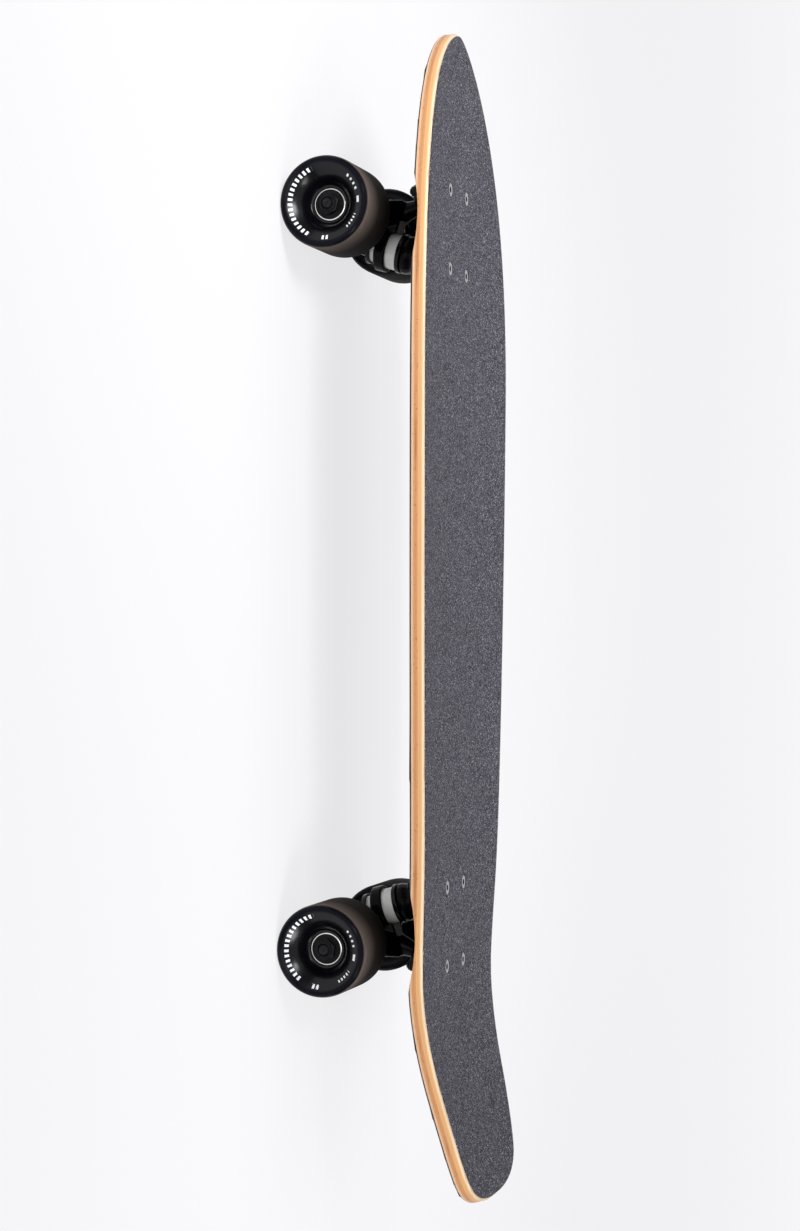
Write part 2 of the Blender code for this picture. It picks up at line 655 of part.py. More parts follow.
def make_kingpin_stack(truck, steel, urethane):
    """Kingpin, its nut, the two bushings and their washers."""
    nut_to = KINGPIN_NUT_FROM - KINGPIN_NUT_HEIGHT
    boardside = bushing_profile(BOARDSIDE_RADIUS, BOARDSIDE_RADIUS, BOARDSIDE_FROM, BOARDSIDE_TO)
    roadside = bushing_profile(ROADSIDE_END_RADIUS, ROADSIDE_RADIUS, ROADSIDE_TO, ROADSIDE_FROM)
    upper = washer_profile(BOARDSIDE_WASHER_FROM, BOARDSIDE_RADIUS, 1)
    lower = washer_profile(ROADSIDE_WASHER_FROM, ROADSIDE_RADIUS, -1)
    pieces = (
        ("kingpin", kingpin_shape(), steel),
        ("kingpin_nut", nut(nut_to, KINGPIN_NUT_FROM, KINGPIN_HEAD_FLATS, KINGPIN_HOLE_RADIUS), steel),
        ("boardside_bushing", turned(boardside, ROUND_SIDES), urethane),
        ("roadside_bushing", turned(roadside, ROUND_SIDES), urethane),
        ("boardside_washer", turned(upper, ROUND_SIDES), steel),
        ("roadside_washer", turned(lower, ROUND_SIDES), steel),
    )
    for label, shape, material in pieces:
        add_object(f"{truck.name}_{label}", shape, truck, material, KINGPIN_FRAME)


def barrel_shape():
    """The round body that the axle runs through, thickest in the middle."""
    half = HANGER_WIDTH / 2
    end, middle = HANGER_END_RADIUS, HANGER_MID_RADIUS
    right = [(0, -half), (end - CASTING_EDGE, -half), (end, CASTING_EDGE - half),
             (end, -half * BARREL_THIN_FROM), (middle, -half * BARREL_THICK_TO)]
    left = [(radius, -height) for radius, height in reversed(right)]
    return turned(right + left, ROUND_SIDES, closed=False)


def yoke_shape():
    """The triangular body that rises from the barrel to the pivot nose."""
    points = []
    foot_radius = HANGER_END_RADIUS - CASTING_EDGE / 2
    for side in (1, -1):
        points += circle_points(AXLE_FRAME, foot_radius, side * YOKE_SPREAD / 2, CAST_SIDES)
        for x, z in yoke_top_edges():
            edge_frame = Matrix.Translation((x, 0, z)) @ AXLE_FRAME
            points += circle_points(edge_frame, YOKE_EDGE, side * YOKE_TOP_WIDTH / 2, EDGE_SIDES)
    return hull(points)


def yoke_top_edges():
    """Centres of the rounded edges at the yoke's top, the outboard one first."""
    level = YOKE_TOP - YOKE_EDGE
    return ((YOKE_FACE - YOKE_EDGE, level), (YOKE_EDGE - YOKE_BACK, level - YOKE_SLOPE))


def ring_shape():
    """The ring between the bushings."""
    reach = RING_THICKNESS / 2
    low = circle_points(KINGPIN_FRAME, RING_RADIUS, -reach, RING_SIDES)
    return hull(low + circle_points(KINGPIN_FRAME, RING_RADIUS, reach, RING_SIDES))


def web_shape():
    """The web that ties the ring to the barrel."""
    reach = RING_THICKNESS / 2 - CASTING_EDGE
    barrel_radius = HANGER_MID_RADIUS - CASTING_EDGE
    points = []
    for side in (1, -1):
        points += circle_points(KINGPIN_FRAME, RING_RADIUS - CASTING_EDGE, side * reach, RING_SIDES)
        points += circle_points(AXLE_FRAME, barrel_radius, side * WEB_WIDTH / 2, CAST_SIDES)
    return hull(points)


def neck_shape():
    """The block from the ring's outboard side and the barrel up to the yoke's top."""
    reach = RING_THICKNESS / 2
    radius = RING_RADIUS - CASTING_EDGE / 2
    points = [
        KINGPIN_FRAME @ Vector((radius * math.cos(turn), radius * math.sin(turn), height))
        for turn in (-NECK_SPREAD, -NECK_SPREAD / 2, 0, NECK_SPREAD / 2, NECK_SPREAD)
        for height in (-reach / 2, reach + NECK_RISE)
    ]
    x, z = yoke_top_edges()[1]
    edge_frame = Matrix.Translation((x, 0, z)) @ AXLE_FRAME
    foot_radius = HANGER_END_RADIUS * NECK_INSET
    for side in (1, -1):
        points += circle_points(edge_frame, YOKE_EDGE * NECK_INSET, side * NECK_TOP_WIDTH / 2, EDGE_SIDES)
        points += circle_points(AXLE_FRAME, foot_radius, side * NECK_FOOT_WIDTH / 2, EDGE_SIDES)
    return hull(points)


def nose_shape():
    """The pivot nose: a tapered neck that ends in a ball."""
    root = -CUP_MOUTH - NOSE_LENGTH_IN_YOKE
    profile = [(0, root), (NOSE_ROOT_RADIUS, root), (NECK_RADIUS, -CUP_MOUTH)]
    return turned(profile + quarter_arc(NOSE_RADIUS) + [(0, NOSE_RADIUS)], ROUND_SIDES, False)


def relief_shape(radius, low, high):
    """Room in the web for what turns with the kingpin, widened sideways for steering."""
    return hull([
        point
        for shift in (-RELIEF_SWING, RELIEF_SWING)
        for end in (low, high)
        for point in circle_points(Matrix.Translation((0, shift, 0)) @ KINGPIN_FRAME, radius, end, CAST_SIDES)
    ])


def make_hanger(truck, hub, metal):
    """The cast hanger: barrel, yoke, ring and pivot nose as one casting, bored for axle and kingpin."""
    name = f"{truck.name}_hanger"
    hanger = add_object(name, barrel_shape(), hub, metal, AXLE_FRAME)
    reach = RING_THICKNESS / 2
    washer_radius = ROADSIDE_WASHER_RADIUS + WASHER_ROOM
    washer_low = KINGPIN_NUT_FROM - WASHER_ROOM
    washer_room = relief_shape(washer_radius, washer_low, -reach - CASTING_EDGE)
    nut_radius = hexagon_radius(KINGPIN_HEAD_FLATS) + NUT_ROOM
    nut_low = KINGPIN_END - HANGER_MID_RADIUS - CUT_PAST
    nut_room = relief_shape(nut_radius, nut_low, washer_low + CASTING_EDGE)
    end = HANGER_WIDTH / 2 + CUT_PAST
    parts = (
        ("yoke", yoke_shape(), None, "UNION"),
        ("web", web_shape(), None, "UNION"),
        ("ring", ring_shape(), None, "UNION"),
        ("neck", neck_shape(), None, "UNION"),
        ("nose", nose_shape(), NOSE_FRAME, "UNION"),
        ("washer_room", washer_room, None, "DIFFERENCE"),
        ("nut_room", nut_room, None, "DIFFERENCE"),
        ("stack_bore", stack_cutter(), KINGPIN_FRAME, "DIFFERENCE"),
        ("axle_bore", rod(AXLE_RADIUS + RUN, -end, end, SMALL_SIDES), AXLE_FRAME, "DIFFERENCE"),
    )
    for label, shape, frame, operation in parts:
        combine(hanger, add_object(f"{name}_{label}", shape, hub, frame=frame), operation)


def stack_cutter():
    """The ring's hole and both bushing seats, with the room that the washer and the boss need above."""
    lower_seat = ROADSIDE_RADIUS + SEAT
    upper_seat = BOARDSIDE_RADIUS + SEAT
    room = BOARDSIDE_WASHER_RADIUS + BOSS_ROOM
    level = BOARDSIDE_WASHER_FROM - WASHER_LIP_DEPTH - BOSS_ROOM
    slope = room - upper_seat
    top = KINGPIN_HEAD_AT
    return turned(
        [(0, -CUT_PAST), (lower_seat, -CUT_PAST), (lower_seat, -RING_SEAT), (RING_HOLE_RADIUS, -RING_SEAT),
         (RING_HOLE_RADIUS, RING_SEAT), (upper_seat, RING_SEAT), (upper_seat, level - slope), (room, level),
         (room, top), (0, top)],
        ROUND_SIDES, closed=False,
    )


def nut(low, high, flats, bore):
    """A hexagon nut about z with a chamfered lower rim."""
    corner = hexagon_radius(flats)
    chamfer = flats * NUT_CHAMFER
    shape = turned(
        [(bore, low), (flats / 2 - chamfer / 2, low), (corner, low + chamfer), (corner, high), (bore, high)],
        SMALL_SIDES,
    )
    squeeze_to_hexagon(shape, flats, bore + ON_RADIUS)
    return shape


def make_axle(truck, hub, steel):
    """The axle through the hanger, with the spacers and nuts that hold the wheels."""
    end = TRACK / 2 - AXLE_END
    right = [(0, -end), (AXLE_RADIUS - AXLE_CHAMFER, -end), (AXLE_RADIUS, AXLE_CHAMFER - end)]
    left = [(radius, -height) for radius, height in reversed(right)]
    add_object(f"{truck.name}_axle", turned(right + left, SMALL_SIDES, False), hub, steel, AXLE_FRAME)
    inner = WHEEL_IN + HUB_DEPTH
    outer = TRACK / 2 - HUB_DEPTH
    spacer_from = inner + BEARING_WIDTH + SEAT
    spacer_to = outer - BEARING_WIDTH - SEAT
    for side, label in side_names(truck):
        frame = side_frame(side)
        bore = AXLE_RADIUS + RUN
        spacer = turned([(bore, spacer_from), (SPACER_RADIUS, spacer_from), (SPACER_RADIUS, spacer_to),
                         (bore, spacer_to)], SMALL_SIDES)
        add_object(f"{truck.name}_{label}_spacer", spacer, hub, steel, frame)
        low = outer + SEAT
        shape = nut(-low - AXLE_NUT_HEIGHT, -low, AXLE_NUT_FLATS, bore)
        bmesh.ops.transform(shape, matrix=Matrix.Rotation(math.pi, 4, "X"), verts=shape.verts)
        add_object(f"{truck.name}_{label}_axle_nut", shape, hub, steel, frame)


def side_names(truck):
    """Local sides with the board's own left and right: the rear truck is turned half round."""
    flip = -1 if truck.name == "rear" else 1
    return ((flip, "left"), (-flip, "right"))


def side_frame(side):
    """A frame on the axle whose z points out of the board at this side."""
    return Matrix.Rotation(-side * math.pi / 2, 4, "X")


def wheel_profile():
    """Section of a wheel, z from its inner side to its outer side."""
    hub = BEARING_SEAT_RADIUS + HUB_FACE_WIDTH
    bearing_back = HUB_DEPTH + BEARING_WIDTH + SEAT
    side = [
        (BEARING_SEAT_RADIUS - WHEEL_WEB_STEP, bearing_back),
        (BEARING_SEAT_RADIUS, bearing_back),
        (BEARING_SEAT_RADIUS, HUB_DEPTH - SHIELD_DEPTH),
        (hub, HUB_DEPTH - SHIELD_DEPTH),
        ((hub + DISH_RADIUS) / 2, DISH_MID_DEPTH),
        (DISH_RADIUS, DISH_DEPTH),
        (WHEEL_LIP_RADIUS, 0),
        (WHEEL_RADIUS, WHEEL_EDGE),
    ]
    low = [(radius, WHEEL_IN + depth) for radius, depth in side]
    high = [(radius, WHEEL_IN + WHEEL_WIDTH - depth) for radius, depth in reversed(side)]
    return low + high


def bearing_profile(low, shield_low):
    """Section of a shielded ball bearing; the shield is set back on the side that shows."""
    high = low + BEARING_WIDTH
    race_in = BEARING_BORE_RADIUS + RACE_WIDTH
    race_out = BEARING_RADIUS - RACE_WIDTH
    if shield_low:
        return [(BEARING_BORE_RADIUS, low), (race_in, low), (race_in, low + SHIELD_DEPTH),
                (race_out, low + SHIELD_DEPTH), (race_out, low), (BEARING_RADIUS, low),
                (BEARING_RADIUS, high), (BEARING_BORE_RADIUS, high)]
    return [(BEARING_BORE_RADIUS, low), (BEARING_RADIUS, low), (BEARING_RADIUS, high), (race_out, high),
            (race_out, high - SHIELD_DEPTH), (race_in, high - SHIELD_DEPTH), (race_in, high),
            (BEARING_BORE_RADIUS, high)]


def make_wheels(truck, urethane, steel):
    """Two wheels with an inner and an outer bearing each, every set on an empty at the axle."""
    inner = bearing_profile(WHEEL_IN + HUB_DEPTH, True)
    outer = bearing_profile(TRACK / 2 - HUB_DEPTH - BEARING_WIDTH, False)
    for side, label in side_names(truck):
        name = f"{truck.name}_{label}"
        spin = add_empty(f"{name}_spin", (0, 0, 0), parent=truck)
        frame = side_frame(side)
        add_object(f"{name}_wheel", turned(wheel_profile(), WHEEL_SIDES), spin, urethane, frame)
        add_object(f"{name}_inner_bearing", turned(inner, BEARING_SIDES), spin, steel, frame)
        add_object(f"{name}_outer_bearing", turned(outer, BEARING_SIDES), spin, steel, frame)


def make_mounting_bolts(truck, steel):
    """Four countersunk bolts from the deck's top, with lock nuts under the baseplate."""
    top = GRIP_TOP - AXLE_Z - BOLT_SUNK
    for number, (x, y) in enumerate(bolt_places(), 1):
        frame = Matrix.Translation((x, y, 0))
        socket = hexagon_radius(BOLT_SOCKET_FLATS)
        shape = turned(
            [(0, top - BOLT_LENGTH), (BOLT_RADIUS, top - BOLT_LENGTH), (BOLT_RADIUS, top - BOLT_HEAD_HEIGHT),
             (BOLT_HEAD_RADIUS, top), (socket, top), (socket, top - BOLT_SOCKET_DEPTH),
             (0, top - BOLT_SOCKET_DEPTH)],
            SMALL_SIDES, closed=False,
        )
        add_object(f"{truck.name}_bolt_{number}", shape, truck, steel, frame)
        high = PLATE_BOTTOM - SEAT
        shape = nut(high - LOCK_NUT_HEIGHT, high, LOCK_NUT_FLATS, BOLT_RADIUS + RUN)
        add_object(f"{truck.name}_lock_nut_{number}", shape, truck, steel, frame)


def main():
    clear_scene()
    wood = make_material("maple", (0.62, 0.36, 0.16), 0.5)
    grit = make_material("grip", (0.10, 0.09, 0.11), 0.95)
    metal = make_material("black_casting", (0.02, 0.02, 0.022), 0.35, 0.4)
    steel = make_material("steel", (0.45, 0.45, 0.47), 0.3, 1.0)
    dark_steel = make_material("dark_steel", (0.05, 0.05, 0.055), 0.4, 0.8)
    black_urethane = make_material("black_urethane", (0.015, 0.015, 0.018), 0.3)
    pale_urethane = make_material("pale_urethane", (0.72, 0.74, 0.70), 0.45)
    rubber = make_material("rubber", (0.03, 0.03, 0.03), 0.7)
    tail_tip = deck_place(TAIL_X, 0, DECK_EDGE_RADIUS).x
    board = add_empty("board", (-(tail_tip + NOSE_X) / 2, 0, 0))
    front = add_empty("front", (WHEELBASE / 2, 0, AXLE_Z), 0, board)
    rear = add_empty("rear", (-WHEELBASE / 2, 0, AXLE_Z), math.pi, board)
    make_deck(board, (front, rear), wood, grit)
    for truck in (front, rear):
        hub = add_empty(f"{truck.name}_steering", (0, 0, 0), parent=truck)
        make_riser(truck, rubber)
        make_baseplate(truck, metal)
        make_pivot_cup(truck, rubber)
        make_kingpin_stack(truck, dark_steel, pale_urethane)
        make_hanger(truck, hub, metal)
        make_axle(truck, hub, steel)
        make_wheels(truck, black_urethane, steel)
        make_mounting_bolts(truck, steel)


main()
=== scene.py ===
# %% [markdown]
# # A cruiser skateboard, dressed
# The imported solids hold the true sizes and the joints. This lesson gives them the look of the real board:
# plywood with its plies showing, grit, cast trucks, bright bearings and poured wheels.

# %% Load the frame
import math

import bmesh
import bpy
from mathutils import Matrix, Vector
from mathutils.geometry import interpolate_bezier


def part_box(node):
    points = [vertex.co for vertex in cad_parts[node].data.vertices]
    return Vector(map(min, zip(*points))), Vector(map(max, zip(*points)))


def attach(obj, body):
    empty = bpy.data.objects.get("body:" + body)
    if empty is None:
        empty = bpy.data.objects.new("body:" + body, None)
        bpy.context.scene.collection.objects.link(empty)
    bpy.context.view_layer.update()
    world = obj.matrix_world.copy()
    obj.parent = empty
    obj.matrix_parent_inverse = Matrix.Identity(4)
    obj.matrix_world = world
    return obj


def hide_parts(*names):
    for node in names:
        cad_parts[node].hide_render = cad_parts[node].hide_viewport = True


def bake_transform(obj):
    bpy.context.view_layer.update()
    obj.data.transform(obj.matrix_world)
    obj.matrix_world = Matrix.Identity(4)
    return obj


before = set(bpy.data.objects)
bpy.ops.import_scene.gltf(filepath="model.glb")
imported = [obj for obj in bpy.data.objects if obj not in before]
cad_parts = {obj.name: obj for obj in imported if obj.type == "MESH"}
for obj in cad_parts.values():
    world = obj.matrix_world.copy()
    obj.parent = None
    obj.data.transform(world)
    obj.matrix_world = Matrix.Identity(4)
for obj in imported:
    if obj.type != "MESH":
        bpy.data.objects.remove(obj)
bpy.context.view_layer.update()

# %% [markdown]
# ## Node helpers
# Every finish is a small graph of nodes. A few helpers keep the graphs readable: one adds a node with its
# settings, and the others add a sum, a product, a ramp or a blend of two colours.

# %% Helpers for nodes


def node(tree, kind, sockets=None, **settings):
    """Adds a node. A socket's value is a number, a colour, or another node's output."""
    made = tree.nodes.new(kind)
    for key, value in settings.items():
        setattr(made, key, value)
    for key, value in (sockets or {}).items():
        if isinstance(value, bpy.types.NodeSocket):
            tree.links.new(value, made.inputs[key])
        else:
            made.inputs[key].default_value = value
    return made


def sum_of(tree, operation, first, second=0.0, third=0.0):
    """A Math node's result."""
    return node(tree, "ShaderNodeMath", {0: first, 1: second, 2: third}, operation=operation).outputs[0]


def product(tree, first, second):
    """Two values multiplied."""
    return sum_of(tree, "MULTIPLY", first, second)


def between(tree, value, low, high):
    """0 below low, 1 above high, and a straight ramp between them."""
    sockets = {"Value": value, "From Min": low, "From Max": high}
    return node(tree, "ShaderNodeMapRange", sockets, clamp=True).outputs[0]


def mixed(tree, share, first, second):
    """One colour over another."""
    made = tree.nodes.new("ShaderNodeMix")
    made.data_type = "RGBA"
    for socket, value in ((made.inputs[0], share), (made.inputs[6], first), (made.inputs[7], second)):
        if isinstance(value, bpy.types.NodeSocket):
            tree.links.new(value, socket)
        else:
            socket.default_value = value
    return made.outputs[2]


def new_material(name):
    """A material with its tree and its Principled shader."""
    made = bpy.data.materials.new(name)
    made.use_nodes = True
    return made, made.node_tree, made.node_tree.nodes["Principled BSDF"]


def object_place(tree, scale=None):
    """Where a point lies on its object, stretched by a scale where one is given."""
    place = node(tree, "ShaderNodeTexCoord").outputs["Object"]
    return node(tree, "ShaderNodeMapping", {"Vector": place, "Scale": scale}).outputs[0] if scale else place


def stored(tree, name):
    """The pair of numbers that a shape keeps in a UV map, as an x and a y."""
    found = node(tree, "ShaderNodeUVMap", uv_map=name).outputs[0]
    return node(tree, "ShaderNodeSeparateXYZ", {0: found}).outputs[:2]


print("node helpers ready")

# %% [markdown]
# Small irregular spots turn up everywhere: in grit, in cast paint, in worn rubber. One group makes them, with
# a soft large pattern and a fine one, so each material asks only for its own scale.

# %% Shared group: mottle
mottle = bpy.data.node_groups.new("mottle", "ShaderNodeTree")
mottle.interface.new_socket("Place", in_out="INPUT", socket_type="NodeSocketVector")
mottle.interface.new_socket("Scale", in_out="INPUT", socket_type="NodeSocketFloat")
for socket in ("Soft", "Fine"):
    mottle.interface.new_socket(socket, in_out="OUTPUT", socket_type="NodeSocketFloat")
given = mottle.nodes.new("NodeGroupInput").outputs
result = mottle.nodes.new("NodeGroupOutput")
fine_scale = product(mottle, given["Scale"], 9.0)
for socket, scale, detail in (("Soft", given["Scale"], 3.0), ("Fine", fine_scale, 2.0)):
    noise = node(mottle, "ShaderNodeTexNoise", {"Vector": given["Place"], "Scale": scale, "Detail": detail})
    mottle.links.new(noise.outputs["Fac"], result.inputs[socket])


def mottled(tree, scale):
    """Places the mottle group and returns its soft and its fine value."""
    made = node(tree, "ShaderNodeGroup", node_tree=mottle)
    tree.links.new(object_place(tree), made.inputs["Place"])
    made.inputs["Scale"].default_value = scale
    return made.outputs["Soft"], made.outputs["Fine"]


def two_toned(name, scale, dark, light, vary, least):
    """A material that wanders between two tones, and whose roughness wanders from least upwards."""
    made, tree, shader = new_material(name)
    soft, fine = mottled(tree, scale)
    tree.links.new(mixed(tree, soft, (*dark, 1), (*light, 1)), shader.inputs["Base Color"])
    tree.links.new(sum_of(tree, "MULTIPLY_ADD", fine, vary, least), shader.inputs["Roughness"])
    return made, tree, shader, soft


print("group:", mottle.name)

# %% [markdown]
# ## Camera, light and floor
# The photograph looks at the board from its left side, a little from above, with the nose at the top of the
# picture. A long lens keeps the two trucks nearly the same size. The camera's place was found by fitting the
# wheels, bolts and deck edge, so it is set here as plain numbers.

# %% Camera
scene = bpy.context.scene
lens = bpy.data.cameras.new("camera")
lens.sensor_fit = "VERTICAL"
lens.sensor_height = 24
lens.lens = 50.72
camera = bpy.data.objects.new("camera", lens)
camera.location = (-0.0032, 1.7336, 0.5783)
camera.rotation_euler = [math.radians(angle) for angle in (-0.767, -73.247, -89.079)]
scene.collection.objects.link(camera)
scene.camera = camera
print("camera", camera.location[:])

# %% [markdown]
# A white studio sweep is lit by one very large soft source overhead and is dimmer towards the horizon. That
# difference is what gives black gloss its shape. A world of one strength would flatten it, so the world's
# strength here follows the height of the direction it is seen in. The camera itself sees it white.

# %% World
HORIZON, OVERHEAD = 0.20, 0.70
scene.view_settings.view_transform = "Standard"
world = bpy.data.worlds.new("studio")
world.use_nodes = True
tree = world.node_tree
direction = node(tree, "ShaderNodeTexCoord").outputs["Generated"]
upward = node(tree, "ShaderNodeSeparateXYZ", {0: direction}).outputs["Z"]
sockets = {"Value": upward, "From Min": 0.25, "From Max": 0.95, "To Min": HORIZON, "To Max": OVERHEAD}
strength = node(tree, "ShaderNodeMapRange", sockets, interpolation_type="SMOOTHSTEP").outputs[0]
to_camera = node(tree, "ShaderNodeLightPath").outputs["Is Camera Ray"]
sky = tree.nodes["Background"]
tree.links.new(sum_of(tree, "MAXIMUM", to_camera, strength), sky.inputs["Strength"])
sky.inputs["Color"].default_value = (0.965, 0.965, 1.0, 1)
scene.world = world
print("world strength:", HORIZON, "at the horizon,", OVERHEAD, "overhead")

# %% [markdown]
# Two soft boxes stand on the camera's side, one past each end of the board. A grid on each keeps its light to
# its own end, so each wheel has one soft bright spot in its dish. The one by the nose is stronger, as the
# photograph's grip is brighter there. A broad weak box behind the camera reaches the trucks under the deck.

# %% Soft boxes


def soft_box(name, place, aim, size, watts, cone=180):
    """A square area lamp that points at a spot. cone is the angle that its grid lets out."""
    data = bpy.data.lights.new(name, "AREA")
    data.size = size
    data.energy = watts
    data.spread = math.radians(cone)
    made = bpy.data.objects.new(name, data)
    made.location = place
    made.rotation_euler = (Vector(aim) - Vector(place)).to_track_quat("-Z", "Y").to_euler()
    scene.collection.objects.link(made)
    return made


lamps = [
    soft_box("nose_end", (1.05, 1.32, 1.38), (0.42, 0.05, 0.03), 0.8, 2.85, 40),
    soft_box("tail_end", (-1.40, 1.10, 1.12), (-0.42, 0.05, 0.03), 0.8, 1.55, 40),
    soft_box("fill", (0.0, 2.4, 0.55), (0, 0.05, 0.05), 1.2, 9),
]
print("soft boxes:", len(lamps))

# %% [markdown]
# ## The floor
# The picture's background is the white floor itself, with only a breath of shadow by the wheels. Its white
# comes from its own colour: what the camera and the reflections see is mostly a plain white, and the rest is
# the lit floor, which keeps the shadow. Its far side, away from the soft boxes, gets a little more of that
# white. The light that it throws back up stays that of a real pale floor.

# %% Floor
NEAR_WHITE, FAR_WHITE = (0.985, 0.98, 0.995, 1), (1.07, 1.065, 1.08, 1)
OWN_WHITE = 0.76
floor_mesh = bmesh.new()
bmesh.ops.create_grid(floor_mesh, x_segments=1, y_segments=1, size=40)
mesh = bpy.data.meshes.new("floor")
floor_mesh.to_mesh(mesh)
floor_mesh.free()
floor = bpy.data.objects.new("floor", mesh)
scene.collection.objects.link(floor)
floor_paint, tree, shader = new_material("studio_floor")
shader.inputs["Base Color"].default_value = (0.91, 0.905, 0.92, 1)
shader.inputs["Roughness"].default_value = 0.9
seen = tree.nodes.new("ShaderNodeLightPath")
rays = [seen.outputs[kind] for kind in ("Is Camera Ray", "Is Glossy Ray", "Is Transmission Ray")]
looked_at = sum_of(tree, "MAXIMUM", rays[0], sum_of(tree, "MAXIMUM", rays[1], rays[2]))
far = node(tree, "ShaderNodeSeparateXYZ", {0: object_place(tree)}).outputs[1]
tone = mixed(tree, between(tree, far, -0.8, -2.4), NEAR_WHITE, FAR_WHITE)
white = node(tree, "ShaderNodeEmission", {"Color": tone, "Strength": 1.0})
share = product(tree, looked_at, OWN_WHITE)
sweep = node(tree, "ShaderNodeMixShader", {0: share, 1: shader.outputs[0], 2: white.outputs[0]})
tree.links.new(sweep.outputs[0], tree.nodes["Material Output"].inputs["Surface"])
mesh.materials.append(floor_paint)
print("floor", len(mesh.polygons), "face")

# %% [markdown]
# ## Helpers for shapes
# Turned parts come from a profile spun about an axis. Each piece is finished in the board's own frame, its
# object at the origin, because the export bakes it there.

# %% Helpers for shapes
SHARP_ANGLE = math.radians(35)


def piece(name, shape, body, materials, place=None, stands_for=()):
    if place is not None:
        bmesh.ops.transform(shape, matrix=place, verts=shape.verts)
    mesh = bpy.data.meshes.new(name)
    shape.to_mesh(mesh)
    shape.free()
    mesh.shade_smooth()
    mesh.set_sharp_from_angle(angle=SHARP_ANGLE)
    for material in materials:
        mesh.materials.append(material)
    made = bpy.data.objects.new(name, mesh)
    scene.collection.objects.link(made)
    if body:
        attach(made, body)
    if stands_for:
        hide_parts(*stands_for)
    return made


def spun(profile, sides, closed=True):
    """A shape turned about z from (radius, height) points. closed joins the last point to the first."""
    shape = bmesh.new()
    points = [shape.verts.new((radius, 0, height)) for radius, height in profile]
    pairs = list(zip(points, points[1:]))
    if closed:
        pairs.append((points[-1], points[0]))
    edges = [shape.edges.new(pair) for pair in pairs]
    bmesh.ops.spin(
        shape,
        geom=points + edges,
        cent=(0, 0, 0),
        axis=(0, 0, 1),
        angle=math.tau,
        steps=sides,
        use_merge=True,
        use_duplicate=False,
    )
    bmesh.ops.remove_doubles(shape, verts=shape.verts, dist=1e-7)
    bmesh.ops.recalc_face_normals(shape, faces=shape.faces)
    return shape


def rounded(profile, radius, steps):
    """Eases the corners of a closed profile with small arcs."""
    eased = []
    count = len(profile)
    for i, corner in enumerate(profile):
        here = Vector(corner)
        before = Vector(profile[i - 1]) - here
        after = Vector(profile[(i + 1) % count]) - here
        room = min(radius, before.length * 0.45, after.length * 0.45)
        if before.normalized().dot(after.normalized()) < -0.98:
            eased.append(here)
            continue
        start, end = here + before.normalized() * room, here + after.normalized() * room
        for step in range(steps + 1):
            share = step / steps
            eased.append(start * (1 - share) ** 2 + here * 2 * share * (1 - share) + end * share**2)
    return [(point.x, point.y) for point in eased]


print("shape helpers ready")

# %% [markdown]
# Modifiers need an object, so a shape goes into a scratch object, gets its modifiers, and comes back as a
# plain shape. Numbers that a material needs, such as a point's place before pressing, are kept in UV maps.

# %% Scratch objects, Booleans and stored numbers


def scratch(shape):
    """Moves a bmesh into a scratch object."""
    mesh = bpy.data.meshes.new("work")
    shape.to_mesh(mesh)
    shape.free()
    made = bpy.data.objects.new("work", mesh)
    scene.collection.objects.link(made)
    return made


def applied(work, *others):
    """A scratch object's shape with its modifiers applied. The scratch objects are removed."""
    bpy.context.view_layer.update()
    evaluated = work.evaluated_get(bpy.context.evaluated_depsgraph_get())
    done = bmesh.new()
    done.from_mesh(evaluated.to_mesh())
    evaluated.to_mesh_clear()
    for used in (work, *others):
        bpy.data.objects.remove(used, do_unlink=True)
    return done


def combined(shape, *tools):
    """Applies Booleans with these (bmesh, operation) tools."""
    work = scratch(shape)
    others = []
    for tool, operation in tools:
        others.append(scratch(tool))
        change = work.modifiers.new("change", "BOOLEAN")
        change.operation, change.solver, change.object = operation, "EXACT", others[-1]
    return applied(work, *others)


def store(shape, name, rule):
    """Keeps a pair of numbers for every point, given by a rule, in a UV map."""
    layer = shape.loops.layers.uv.new(name)
    for face in shape.faces:
        for loop in face.loops:
            loop[layer].uv = rule(loop.vert)


print("scratch helpers ready")

# %% [markdown]
# ## Where things are
# The solids say where each axle is. A wheel is made once, about z, and placed by a frame whose z points out of
# the board along the axle.

# %% Places
trucks = {}
for truck, facing in (("front", 1), ("rear", -1)):
    low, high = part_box(f"{truck}_axle")
    centre = (low + high) / 2
    turn = Matrix.Rotation(0 if facing > 0 else math.pi, 4, "Z")
    trucks[truck] = {"centre": centre, "frame": Matrix.Translation(centre) @ turn}
    print(truck, [round(value, 4) for value in centre])


def axle_frame(truck, side):
    """side is 1 for the board's left."""
    return Matrix.Translation(trucks[truck]["centre"]) @ Matrix.Rotation(-side * math.pi / 2, 4, "X")


SIDES = {"left": 1, "right": -1}
RING_CENTRE = Vector((-0.0197, 0, 0.0142))
KINGPIN_LEAN, PIVOT_ANGLE, NOSE_LEAN = (math.radians(angle) for angle in (15, 42, 20))
PIVOT_REACH = 0.041
KINGPIN_FRAME = Matrix.Translation(RING_CENTRE) @ Matrix.Rotation(-KINGPIN_LEAN, 4, "Y")
PIVOT_CENTRE = RING_CENTRE + PIVOT_REACH * Vector((math.cos(PIVOT_ANGLE), 0, math.sin(PIVOT_ANGLE)))
NOSE_FRAME = Matrix.Translation(PIVOT_CENTRE) @ Matrix.Rotation(NOSE_LEAN, 4, "Y")

# %% [markdown]
# ## Plywood
# The deck is seven plies of maple, pressed in a mould: the sides rise a little and the tail bends up. The edge
# shows the plies in bands, with a dark painted sheet under them. A picture could fake the bands, but a real
# height inside the sheet is better, so the flat sheet is drawn first, each point keeps its flat place in a UV
# map, and only then is it pressed. The tail's end is drawn a little rounder and 2.8 mm shorter than the
# solid's, as the photograph shows it.

